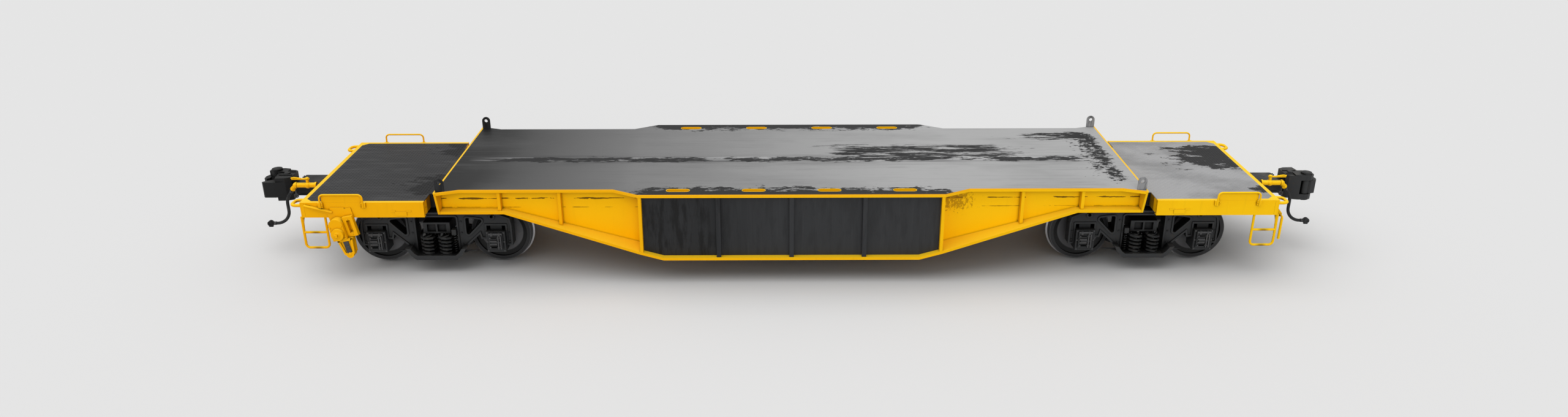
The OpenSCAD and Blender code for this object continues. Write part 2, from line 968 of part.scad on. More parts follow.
module hand_brake_clevis() {
    cheek = (clevis_d - clevis_gap) / 2;
    low_z = -clevis_h + sheave_r;
    plan = [
        [-clevis_top_w / 2, 0], [-clevis_low_w / 2, low_z],
        [clevis_low_w / 2, low_z], [clevis_top_w / 2, 0]
    ];
    color(yellow)
        in_brake_frame()
            translate([clevis_u, 0, -drum_h / 2 - seat_gap]) {
                for (y = [-cheek, -clevis_d])
                    across(y, y + cheek) polygon(plan);
                translate([0, 0, low_z]) rod_y(-clevis_d, 0, sheave_r);
                block([-clevis_top_w / 2, -clevis_d, -cheek], [clevis_top_w / 2, 0, 0]);
            }
}

// Couplers' strikers and levers

module strikers() {
    in_x = wagon_half - sill_w;
    out_x = wagon_half + striker_out;
    opening_w = striker_w - 2 * striker_wall_y;
    color(cast_black)
        both_ends()
            difference() {
                across(-striker_w / 2, striker_w / 2)
                    polygon(concat(
                        [[in_x, coupler_z + striker_h / 2], [in_x, coupler_z - striker_h / 2],
                         [out_x, coupler_z - striker_h / 2]],
                        corner(
                            [out_x, coupler_z - striker_h / 2], [out_x, coupler_z + striker_h / 2],
                            [in_x, coupler_z + striker_h / 2], striker_round
                        )
                    ));
                block(
                    [in_x - cut, -opening_w / 2, coupler_z - striker_h / 2 + striker_wall_z],
                    [out_x + cut, opening_w / 2, coupler_z + striker_h / 2 - striker_wall_z]
                );
            }
}

module lever_bracket(y) {
    plan = [
        [wagon_half, sill_low], [lever_x - lever_collar, lever_z - lever_collar],
        [lever_x + lever_collar, lever_z - lever_collar], [lever_x + lever_collar, lever_z + lever_collar],
        [wagon_half + lever_collar, platform_top - sill_h / 2], [wagon_half, platform_top - sill_h / 2]
    ];
    across(y - lever_bracket_t / 2, y + lever_bracket_t / 2) polygon(plan);
}

module uncoupling_lever() {
    translate([lever_x, 0, lever_z]) {
        rod_y(-lever_y, -lever_in_y, lever_r);
        translate([0, -lever_y, 0]) {
            sphere(lever_r);
            mirror([0, 0, 1]) cylinder(r = lever_r, h = lever_drop);
        }
        translate([0, -lever_in_y, 0]) sphere(lever_collar);
    }
    lever_bracket(-lever_y + lever_bracket_in);
    lever_bracket(-lever_bracket_y);
}

module uncoupling_levers() {
    color(yellow) {
        uncoupling_lever();
        rotate(180) uncoupling_lever();
    }
}

// Train pipe, angle cocks, hoses

module train_pipe() {
    end_x = cock_x - cock_body_len;
    color(steel) translate([0, -pipe_y, pipe_z]) rod_x(-end_x, end_x, pipe_r);
}

module angle_cock() {
    translate([0, -pipe_y, pipe_z]) {
        rod_x(cock_x - cock_body_len, cock_x, cock_r);
        translate([cock_x, 0, 0]) {
            sphere(cock_r);
            rotate([0, 90 + nipple_tilt, 0]) cylinder(r = nipple_r, h = nipple_len);
        }
        for (back = [cock_collar, cock_body_len])
            rod_x(cock_x - back, cock_x - back + cock_collar, cock_collar_r);
        translate([cock_x - cock_key_back, 0, 0]) {
            sphere(cock_seat_r);
            cylinder(r = cock_key_r, h = cock_key_h + weld);
            translate([-cock_handle_w, -cock_handle_w / 2, cock_key_h])
                cube([cock_handle_len, cock_handle_w, cock_handle_t]);
        }
    }
}

module angle_cocks() {
    color(yellow) both_ends() angle_cock();
}

// Middle line of a hose at the right end: along the nipple, down, and out to the hose coupling
function hose_arc(mid, r, a0, a1) =
    [for (i = [0:hose_arc_steps]) let(t = a0 + (a1 - a0) * i / hose_arc_steps)
        mid + r * [cos(t), 0, sin(t)]];
function hose_route() =
    let(ahead = [cos(nipple_tilt), 0, -sin(nipple_tilt)], inward = [-sin(nipple_tilt), 0, -cos(nipple_tilt)])
    let(start = [cock_x, -pipe_y, pipe_z] + nipple_len * ahead)
    let(bend = start + hose_lead * ahead + hose_bend_r * inward)
    let(sweep = bend + [hose_bend_r + hose_sweep_r, 0, -hose_fall])
    concat(
        [start],
        hose_arc(bend, hose_bend_r, 90 - nipple_tilt, 0),
        hose_arc(sweep, hose_sweep_r, 180, 270),
        [sweep + [hose_tail, 0, -hose_sweep_r]]
    );

module hose() {
    route = hose_route();
    last = len(route) - 1;
    across_y = [0, 1, 0];
    points = [for (i = [0:last])
        let(ahead = unit(route[min(i + 1, last)] - route[max(i - 1, 0)]))
        each ring(route[i], across_y, cross(across_y, ahead), hose_r, hose_sides)];
    polyhedron(points, tube_faces(last + 1, hose_sides));
}

module hose_right() {
    color(rubber) hose();
}

module hose_left() {
    color(rubber) mirror([1, 0, 0]) hose();
}

module gladhand() {
    route = hose_route();
    translate(route[len(route) - 1]) {
        rod_x(0, gladhand_neck, hose_r);
        translate([gladhand_neck + gladhand_r / 2, 0, 0])
            rod_y(-gladhand_t / 2, gladhand_t / 2, gladhand_r);
    }
}

module gladhand_right() {
    color(cast_black) gladhand();
}

module gladhand_left() {
    color(cast_black) mirror([1, 0, 0]) gladhand();
}

// Air brake gear, hung from the deck between crossbearers

module hanger_straps(x0, x1, y, z, r) {
    for (x = [x0, x1])
        block(
            [x - strap_w / 2, y - strap_t / 2, z + r - strap_t],
            [x + strap_w / 2, y + strap_t / 2, deck_under]
        );
}

// A vessel along X with dished ends, its middle at the origin
module dished_tank(l, r, dome) {
    side = [
        [0, -l / 2], [r * dish_shares[0], dish_shares[1] * dome - l / 2], [r, dome - l / 2],
        [r, l / 2 - dome], [r * dish_shares[0], l / 2 - dish_shares[1] * dome], [0, l / 2]
    ];
    rotate([0, 90, 0]) rotate_extrude() polygon(side);
}

module air_reservoir() {
    mid = rib_pitch / 2;
    color(cast_black) {
        translate([mid, tank_y, tank_z]) dished_tank(tank_len, tank_r, tank_dome);
        hanger_straps(mid - tank_len / 4, mid + tank_len / 4, tank_y, tank_z, tank_r);
    }
}

// Valve body on a narrower pipe bracket, with a round cap towards each neighbour
module control_valve() {
    body_low = deck_under - valve_h;
    color(cast_black)
        translate([-rib_pitch / 2, tank_y, 0]) {
            block(
                [-valve_neck_w / 2, -valve_d / 2, body_low],
                [valve_neck_w / 2, valve_d / 2, deck_under]
            );
            block(
                [-valve_w / 2, -valve_d / 2, body_low],
                [valve_w / 2, valve_d / 2, deck_under - valve_neck_h]
            );
            translate([0, 0, body_low + (valve_h - valve_neck_h) / 2])
                rod_x(-valve_w / 2 - valve_cap_len, valve_w / 2 + valve_cap_len, valve_cap_r);
        }
}

// Brake cylinder with a flanged barrel and a tapered nose round its rod
module brake_cylinder() {
    mid = rib_pitch / 2;
    flange_x = cylinder_len - cylinder_nose - cylinder_flange_t;
    side = [
        [0, 0], [cylinder_r, 0], [cylinder_r, flange_x], [cylinder_flange_r, flange_x],
        [cylinder_flange_r, flange_x + cylinder_flange_t], [cylinder_r, flange_x + cylinder_flange_t],
        [2 * cylinder_rod_r, cylinder_len], [cylinder_rod_r, cylinder_len],
        [cylinder_rod_r, cylinder_len + cylinder_rod_len], [0, cylinder_len + cylinder_rod_len]
    ];
    color(cast_black) {
        translate([mid - cylinder_len / 2, -tank_y, tank_z])
            rotate([0, 90, 0])
                rotate_extrude() polygon(side);
        hanger_straps(mid - cylinder_len / 3, mid + cylinder_len / 8, -tank_y, tank_z, cylinder_r);
    }
}

// Couplers, drawn for the right end with the pivot at the origin

function coupler_plan(shares) = shares_at(shares, head_len, head_w / 2, horn_x);
knuckle_pin = [horn_x + knuckle_pin_shares[0] * head_len, knuckle_pin_shares[1] * head_w / 2, 0];
slot_h = knuckle_h + knuckle_slot;

module coupler() {
    difference() {
        union() {
            block([0, -shank_w / 2, -shank_h / 2], [horn_x + weld, shank_w / 2, shank_h / 2]);
            translate([0, 0, -shank_h / 2]) cylinder(r = shank_w / 2, h = shank_h);
            linear_extrude(guard_h, center = true) polygon(coupler_plan(head_shares));
            linear_extrude(head_h, center = true) polygon(coupler_plan(back_shares));
            linear_extrude(2 * lug_top, center = true) polygon(coupler_plan(lug_shares));
            translate(knuckle_pin - [0, 0, lug_boss_h]) cylinder(r = lug_boss_r, h = 2 * lug_boss_h);
        }
        translate([0, 0, -head_h]) cylinder(r = coupler_pin_r + run_gap, h = 2 * head_h);
        translate([
            knuckle_pin[0] - lug_boss_r - knuckle_slot,
            knuckle_pin[1] + knuckle_r + knuckle_slot - head_w,
            -slot_h / 2
        ])
            cube([head_len, head_w, slot_h]);
    }
    translate(knuckle_pin - [0, 0, lug_boss_h]) cylinder(r = knuckle_pin_r, h = 2 * lug_boss_h + cap_t);
    translate(knuckle_pin + [0, 0, lug_boss_h - weld]) cylinder(r = cap_r, h = cap_t + weld);
}

module knuckle() {
    difference() {
        translate([knuckle_pin[0], knuckle_pin[1], -knuckle_h / 2])
            linear_extrude(knuckle_h) {
                circle(knuckle_r);
                polygon(shares_at(knuckle_shares, head_len, head_w / 2));
            }
        translate(knuckle_pin - [0, 0, knuckle_h]) cylinder(r = knuckle_pin_r + run_gap, h = 2 * knuckle_h);
    }
}

module at_right_coupler() {
    translate([coupler_pivot_x, 0, coupler_z]) children();
}

module coupler_right() {
    color(cast_black) at_right_coupler() coupler();
}

module coupler_left() {
    color(cast_black) rotate(180) at_right_coupler() coupler();
}

module knuckle_right() {
    color(cast_black) at_right_coupler() knuckle();
}

module knuckle_left() {
    color(cast_black) rotate(180) at_right_coupler() knuckle();
}

// Bogies, drawn about their own pivot

module at_bogie(side) {
    translate([side * bogie_x, 0, 0]) children();
}

function wheelset_side() = [
    [axle_r, 0], [axle_r, wheel_in - hub_back], [hub_r, wheel_in - hub_back], [hub_r, wheel_in + plate_set],
    [tread_r - rim_t, wheel_in + rim_plate_set], [tread_r - rim_t, wheel_in],
    [axle_z - flange_t / 4, wheel_in], [axle_z, wheel_in + flange_t / 4],
    [axle_z, wheel_in + flange_t / 2], [tread_r, wheel_in + flange_t],
    [tread_r - tread_drop, wheel_in + rim_w - tread_drop],
    [tread_r - 2 * tread_drop, wheel_in + rim_w], [tread_r - rim_t, wheel_in + rim_w],
    [tread_r - rim_t, wheel_in + rim_plate_set + plate_t], [hub_r, wheel_in + plate_set + plate_t],
    [hub_r, wheel_in - hub_back + hub_len], [journal_r + seat_gap, wheel_in - hub_back + hub_len],
    [journal_r, box_in], [journal_r, axle_end]
];

module wheelset(x) {
    half = wheelset_side();
    color(cast_black)
        translate([x, 0, axle_z])
            rotate([-90, 0, 0])
                rotate_extrude($fn = 96)
                    polygon(concat([[0, -axle_end]], flip_y(half), half, [[0, axle_end]]));
}

module wheelset_1() {
    wheelset(-bogie_x - wheelbase / 2);
}

module wheelset_2() {
    wheelset(-bogie_x + wheelbase / 2);
}

module wheelset_3() {
    wheelset(bogie_x - wheelbase / 2);
}

module wheelset_4() {
    wheelset(bogie_x + wheelbase / 2);
}

module journal_box() {
    difference() {
        union() {
            block([-box_w / 2, box_in, -box_h / 2], [box_w / 2, box_out, box_h / 2]);
            block(
                [-crown_w / 2, journal_y - frame_t / 2, box_h / 2 - weld],
                [crown_w / 2, journal_y + frame_t / 2, box_h / 2 + crown_h]
            );
            block(
                [-box_lid_w / 2, box_out, -box_lid_h / 2],
                [box_lid_w / 2, box_out + box_lid_t, box_lid_h / 2]
            );
            for (i = [0:box_rib_count - 1])
                translate([0, box_out + box_lid_t, (i - (box_rib_count - 1) / 2) * box_lid_h / box_rib_count])
                    block(
                        [-box_lid_w / 3, 0, -box_rib_h / 2],
                        [box_lid_w / 3, box_rib_t, box_rib_h / 2]
                    );
        }
        rod_y(box_in - cut, axle_end + move_gap, journal_r + run_gap);
    }
}

module journal_boxes() {
    color(cast_black)
        both_sides()
            both_ends()
                translate([wheelbase / 2, 0, axle_z]) journal_box();
}

module journal_boxes_left() {
    at_bogie(-1) journal_boxes();
}

module journal_boxes_right() {
    at_bogie(1) journal_boxes();
}

// Side frame: one casting with a spring window, two lightening holes, two eyes and open jaws

function frame_half() = concat(
    shares_at(frame_end_shares, wheelbase / 2, frame_h, 0, frame_low),
    [
        [wheelbase / 2 + jaw_half + leg_w, jaw_top],
        [wheelbase / 2 + jaw_half + leg_w, axle_z - box_h / 4],
        [wheelbase / 2 + jaw_half, axle_z - box_h / 4], [wheelbase / 2 + jaw_half, jaw_top + seat_gap],
        [wheelbase / 2 - jaw_half, jaw_top + seat_gap], [wheelbase / 2 - jaw_half, axle_z + frame_rib]
    ],
    shares_at(frame_low_shares, wheelbase / 2, frame_h, 0, frame_low)
);

module frame_plate() {
    hole = shares_at(frame_hole_shares, wheelbase / 2, frame_h, 0, frame_low);
    window = [
        [-window_half, seat_z], [window_half, seat_z], [window_half, window_top], [-window_half, window_top]
    ];
    difference() {
        polygon(concat(frame_half(), flip_x(frame_half())));
        polygon(rounded(window, frame_rib));
        polygon(rounded(hole, frame_rib));
        polygon(rounded(flip_x(hole), frame_rib));
        for (s = [-1, 1])
            translate([s * frame_eye_shares[0] * wheelbase / 2, frame_low + frame_eye_shares[1] * frame_h])
                circle(frame_eye_r);
    }
}

module side_frame() {
    across(journal_y - frame_t / 2, journal_y + frame_t / 2) frame_plate();
    block([-seat_half, journal_y - seat_w / 2, frame_low], [seat_half, journal_y + seat_w / 2, seat_z]);
}

module side_frames() {
    color(cast_black) both_sides() side_frame();
}

module side_frames_left() {
    at_bogie(-1) side_frames();
}

module side_frames_right() {
    at_bogie(1) side_frames();
}

module coil() {
    rings = floor(coil_turns * coil_steps) + 1;
    rise = spring_h - 2 * wire_r;
    up = [0, 0, 1];
    points = [for (i = [0:rings - 1])
        let(a = 360 * i / coil_steps, out = [cos(a), sin(a), 0])
        each ring(coil_r * out + up * (wire_r + rise * i / (rings - 1)), out, up, wire_r, wire_sides)];
    polyhedron(points, tube_faces(rings, wire_sides));
}

module springs() {
    color(cast_black)
        both_sides()
            for (i = [-1, 1], j = [-1, 1])
                translate([i * coil_pitch_x / 2, journal_y + j * coil_pitch_y / 2, seat_z]) coil();
}

module springs_left() {
    at_bogie(-1) springs();
}

module springs_right() {
    at_bogie(1) springs();
}

// Two pockets with a rib between them, in the bolster's far end
module bolster_pockets() {
    for (s = [-1, 1])
        translate([s * (bolster_pocket_w + bolster_wall) / 2, 0, 0])
            block(
                [-bolster_pocket_w / 2, bolster_end - bolster_pocket_d, bolster_end_low + bolster_wall],
                [bolster_pocket_w / 2, bolster_end + cut, bolster_end_top - bolster_wall]
            );
}

module bogie_bolster() {
    side = [
        [bolster_slope_in, bolster_mid_low], [bolster_slope_out, bolster_end_low],
        [bolster_end, bolster_end_low], [bolster_end, bolster_end_top],
        [bolster_step_y, bolster_end_top], [bolster_slope_in, bolster_mid_top]
    ];
    bowl_z = center_plate_z - seat_gap;
    color(cast_black)
        difference() {
            union() {
                along(-bolster_w / 2, bolster_w / 2) polygon(concat(side, flip_x(side)));
                translate([0, 0, bolster_mid_low])
                    cylinder(r = bowl_r, h = center_plate_z + move_gap - bolster_mid_low);
                both_sides()
                    block(
                        [-bearer_pad_len / 2, bearer_pad_y - bearer_pad_w / 2, bolster_mid_top],
                        [bearer_pad_len / 2, bearer_pad_y + bearer_pad_w / 2, bearer_pad_top - move_gap]
                    );
            }
            translate([0, 0, bowl_z]) cylinder(r = center_plate_r + seat_gap, h = bowl_r);
            translate([0, 0, bolster_mid_low - cut]) cylinder(r = king_pin_r + run_gap, h = bowl_z);
            both_sides() bolster_pockets();
        }
}

module bogie_bolster_left() {
    at_bogie(-1) bogie_bolster();
}

module bogie_bolster_right() {
    at_bogie(1) bogie_bolster();
}

module brake_beam() {
    shoe_y = wheel_in + flange_t + (rim_w - flange_t) / 2;
    bar_x = wheelbase / 2 - tread_r - shoe_gap - shoe_t - bar_r;
    frame_in = journal_y - frame_t / 2;
    translate([bar_x, 0, axle_z - bar_drop]) rod_y(-frame_in, frame_in, bar_r);
    both_sides()
        translate([wheelbase / 2, shoe_y + shoe_w / 2, axle_z])
            rotate([90, 0, 0])
                rotate([0, 0, 180 + asin(bar_drop / (tread_r + shoe_gap)) - shoe_span / 2])
                    rotate_extrude(angle = shoe_span)
                        translate([tread_r + shoe_gap, 0]) square([shoe_t + bar_r, shoe_w]);
}

module brake_beams() {
    color(cast_black) both_ends() brake_beam();
}

module brake_beams_left() {
    at_bogie(-1) brake_beams();
}

module brake_beams_right() {
    at_bogie(1) brake_beams();
}

main_deck();
pocket_liners();
girder_near();
girder_far();
side_panel_near();
side_panel_far();
bulkheads();
center_sill();
cross_bearers();
body_bolsters();
side_sills();
end_sills();
platform_beams();
end_deck_left();
end_deck_right();
sill_steps();
side_grab_irons();
end_loops();
lashing_lugs();
hand_brake_bracket();
hand_brake_housing();
hand_brake_guide();
hand_brake_clevis();
strikers();
uncoupling_levers();
train_pipe();
angle_cocks();
air_reservoir();
control_valve();
brake_cylinder();
coupler_left();
coupler_right();
knuckle_left();
knuckle_right();
hose_left();
hose_right();
gladhand_left();
gladhand_right();
side_frames_left();
side_frames_right();
bogie_bolster_left();
bogie_bolster_right();
springs_left();
springs_right();
journal_boxes_left();
journal_boxes_right();
brake_beams_left();
brake_beams_right();
wheelset_1();
wheelset_2();
wheelset_3();
wheelset_4();
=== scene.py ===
"""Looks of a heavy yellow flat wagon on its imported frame: paint, worn plate, castings, hoses and trim."""

import json
import math

import bmesh
import bpy
from mathutils import Matrix, Vector


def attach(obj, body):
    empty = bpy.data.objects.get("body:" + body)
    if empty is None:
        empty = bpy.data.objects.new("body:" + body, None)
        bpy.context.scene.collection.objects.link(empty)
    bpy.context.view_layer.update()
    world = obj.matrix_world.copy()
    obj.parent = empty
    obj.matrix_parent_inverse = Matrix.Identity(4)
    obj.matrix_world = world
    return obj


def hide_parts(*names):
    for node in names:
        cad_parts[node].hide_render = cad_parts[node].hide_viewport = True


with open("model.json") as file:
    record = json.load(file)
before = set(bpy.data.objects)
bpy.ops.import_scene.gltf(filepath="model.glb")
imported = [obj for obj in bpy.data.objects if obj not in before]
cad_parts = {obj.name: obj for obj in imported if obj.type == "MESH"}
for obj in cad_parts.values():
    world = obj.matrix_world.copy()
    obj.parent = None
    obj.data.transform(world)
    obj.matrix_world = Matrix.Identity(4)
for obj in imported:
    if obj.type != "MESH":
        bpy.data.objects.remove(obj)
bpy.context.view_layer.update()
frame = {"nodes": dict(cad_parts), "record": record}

bl_info = {
    "name": "Flat Wagon Looks",
    "version": (1, 0, 0),
    "blender": (4, 2, 0),
    "location": "3D View > Sidebar > Wagon",
    "description": "Finishes, hoses and trim for the flat wagon, and a plain studio round it",
    "category": "Object",
}

ENDS = (("left", -1), ("right", 1))
SIDES = (-1, 1)

# Places on the frame's own pieces, in metres

# Bogies
BOGIE_X = 5.307
AXLE_DX = 0.889
AXLE_Z = 0.485
FRAME_FACE = 1.088
BOX_FACE = 1.194
SPRING_DX, SPRING_Y, SPRING_DY = 0.131, 1.003, 0.119

# Platforms and ends of the wagon
PLATFORM_START = 5.4
PLATFORM_TOP = 1.193
PLATFORM_HALF = 1.28
SILL_FACE = 1.34
END_SILL = 7.115
WAGON_END = 7.175
NEAR_IRON, FAR_IRON, IRON_FOOT_DX, IRON_FACE = 6.558, 6.45, 0.31, 1.378
LOOP_Y, LOOP_Z = 1.195, PLATFORM_TOP - 0.06
LOOP_HALF, LOOP_BEND, LOOP_BEND_X = 0.105, 0.07, 7.255
STEP_Y = 1.304
LEVER_END = (7.318, 1.2, 0.85)
COUPLER_Z = 0.95
KNUCKLE_PIN = (8.0982, -0.1364)

# Hand brake, with its drum and chain from its own place, and the air gear under the deck
BRAKE_PLACE, BRAKE_LEAN = (-6.64, -1.34, 0.81), math.radians(-11)
DRUM_FACE, DRUM_Z = -0.179, -0.063
CHAIN_X = 0.06
CLEVIS_FACE = -1.45
RESERVOIR = (0.5325, 0.72, 1.12)
CYLINDER_HEAD = (0.6325, -0.72, 1.12)

# Hoses and the angle cocks that they hang from
HOSE_Y = -0.34
COCK, COCK_KEY = (7.64, 1.08), 0.195
NIPPLE, NIPPLE_TILT = 0.1, math.radians(53)
HOSE_LEAD, HOSE_BEND, HOSE_FALL, HOSE_SWEEP, HOSE_TAIL = 0.1, 0.25, 0.11, 0.215, 0.045

# The camera as it stood: pitch, yaw and roll in degrees, lens and sensor in millimetres, place in metres
CAMERA_TURN = (22.44, 0.515, 0.04)
CAMERA_LENS, CAMERA_SENSOR, CAMERA_REACH = 25.73, 36.0, 1000.0
CAMERA_PLACE = (-0.2457, -16.5278, 7.3541)

# Mix nodes for colours: their two colour inputs and their colour output
UNDER, OVER, MIXED = 6, 7, 2

# Edges that are sharper than this, in degrees, stay sharp on the frame's pieces and on the trim
FRAME_SHARP, TRIM_SHARP = 32, 35


# Shader helpers


def linear(code):
    """Linear RGBA of an sRGB hex colour."""
    parts = [int(code[i:i + 2], 16) / 255 for i in (1, 3, 5)]
    return [c / 12.92 if c <= 0.04045 else ((c + 0.055) / 1.055) ** 2.4 for c in parts] + [1.0]


def add(tree, kind, inputs=(), out=0, **settings):
    """Adds a shader node with its settings, sets or links its inputs and returns one of its outputs."""
    made = tree.nodes.new("ShaderNode" + kind)
    for key, value in settings.items():
        setattr(made, key, value)
    set_inputs(tree, made, dict(inputs))
    return made.outputs[out]


def set_inputs(tree, made, inputs):
    """Sets or links a node's inputs by name or number."""
    for key, value in inputs.items():
        if isinstance(value, bpy.types.NodeSocket):
            tree.links.new(value, made.inputs[key])
        else:
            made.inputs[key].default_value = value


def patches(tree, place, size_mm, stretch=(1, 1, 1), start=0.5, full=0.7, detail=5.0, rough=0.6, turn=0.0):
    """Where a patchy wear lies, 0 to 1: its blots are about size_mm wide and drawn out along the axes."""
    scaled = add(tree, "Mapping", {
        "Vector": place,
        "Rotation": (0, 0, math.radians(turn)),
        "Scale": [1000 / size_mm / s for s in stretch],
    })
    spots = add(tree, "TexNoise", {"Vector": scaled, "Scale": 1.0, "Detail": detail, "Roughness": rough})
    return add(tree, "MapRange", {"Value": spots, "From Min": start, "From Max": full})


def strip(tree, measure, rise, fall):
    """Where a measure lies in a strip, 0 to 1: in over the first pair of numbers, out over the second."""
    inward = add(tree, "MapRange", {"Value": measure, "From Min": rise[0], "From Max": rise[1]})
    outward = add(tree, "MapRange", {"Value": measure, "From Min": fall[1], "From Max": fall[0]})
    return add(tree, "Math", {0: inward, 1: outward}, operation="MULTIPLY")


def torn(tree, place, size_mm, stretch, cover, *masks, turn=0.0):
    """A band with a torn border: its masks are full in its middle, and spots tear it where they fade."""
    for mask in masks:
        cover = add(tree, "Math", {0: mask, 1: cover}, operation="MULTIPLY")
    spots = patches(tree, place, size_mm, stretch, 0.27, 0.73, 9.0, 0.72, turn)
    both = add(tree, "Math", {0: spots, 1: cover}, operation="ADD")
    return add(tree, "MapRange", {"Value": both, "From Min": 0.97, "From Max": 1.05})


def stain(tree, under, code, cover, *masks):
    """A colour laid over another, as strong as cover, where all the masks lie at once."""
    for mask in masks:
        cover = add(tree, "Math", {0: mask, 1: cover}, operation="MULTIPLY")
    return add(tree, "Mix", {0: cover, UNDER: under, OVER: linear(code)}, MIXED, data_type="RGBA")


def new_material(name):
    """An empty material: itself, its tree, its shader and the part's own coordinates."""
    made = bpy.data.materials.new(name)
    made.use_nodes = True
    tree = made.node_tree
    tree.nodes.clear()
    surface = add(tree, "BsdfPrincipled")
    output = tree.nodes.new("ShaderNodeOutputMaterial")
    tree.links.new(surface, output.inputs["Surface"])
    return made, tree, surface.node, add(tree, "TexCoord", out="Object")


# Where the wear and the painted light and shade lie, in metres: a strip has the two pairs over which it
# comes in and goes

WEB = (1.19, 1.21), (1.25, 1.26)
INNER_FACES = 1.18
SMUDGE_X, SMUDGE_Z = ((2.0, 2.3), (2.5, 2.95)), ((0.85, 1.1), (1.25, 1.4))
RUNG_X, RUNG_TOP = ((6.92, 6.99), (7.03, 7.1)), 0.74
# height, thickness and cover of the dirt lines along the webs
DIRT_LINES = ((1.215, 0.022, 0.9), (1.075, 0.014, 0.6))

LUG_X, LUG_Z = ((4.5, 4.6), (5.4, 5.5)), ((1.4, 1.42), (2.0, 2.1))

# colour, cover, and the two places between which the deck darkens towards the left
DECK_TONES = (
    ("#727272", 1.0, 1.8, -2.6),
    ("#303030", 1.0, -2.4, -4.7),
    ("#161616", 0.9, -4.2, -5.2),
)
SCRAPE_X = (-5.0, -4.4), (4.4, 5.0)
SCRAPE_HALO = (-0.45, -0.22), (0.0, 0.12)
SCRAPE_SHINE = (-0.18, -0.13), (-0.06, 0.0)
SCRAPE_CORE = (-0.32, -0.15), (-0.08, 0.09)
FAN_X = (0.1, 0.9), (3.2, 4.1)
# turn in degrees and the two edges of each scuff of the fan
FAN_SCUFFS = ((0, -0.12, 0.2), (9, 0.02, 0.55), (14, 0.1, 0.6))
# strip across, strip along and stretch of the soot at the deck's right-hand end
SOOT = (
    (((-1.3, -0.9), (1.1, 1.3)), ((4.3, 4.95), (4.9, 5.12)), 1.6),
    (((0.6, 0.9), (1.1, 1.25)), ((2.9, 4.7), (4.8, 5.05)), 5),
)
LEDGE_X, LEDGE_Y = ((-1.0, 0.0), (2.05, 2.55)), ((1.12, 1.58), (2.0, 2.1))
DECK_NOSING = 5.138

# strip across and strip along of the black patches on the platforms
TREAD_PATCHES = (
    (((-0.3, 0.2), (0.95, 1.25)), ((5.5, 6.75), (7.2, 7.3))),
    (((-1.15, -0.95), (-0.85, -0.6)), ((6.6, 7.1), (7.2, 7.3))),
    (((-1.25, -0.9), (-0.5, 0.2)), ((-6.3, -5.4), (-5.2, -5.1))),
    (((0.3, 0.8), (1.3, 1.4)), ((-6.2, -5.4), (-5.2, -5.1))),
)

# radii of the painted shade on a wheel's web and inner lip, and of its rim, its tread and its flange
WHEEL_PAINTED_SHADE = (0.315, 0.33), (0.392, 0.396)
WHEEL_RIM = (0.393, 0.397), (0.44, 0.445)
WHEEL_TREAD = (0.444, 0.448)
WHEEL_FLANGE = (0.459, 0.465)


# Finishes


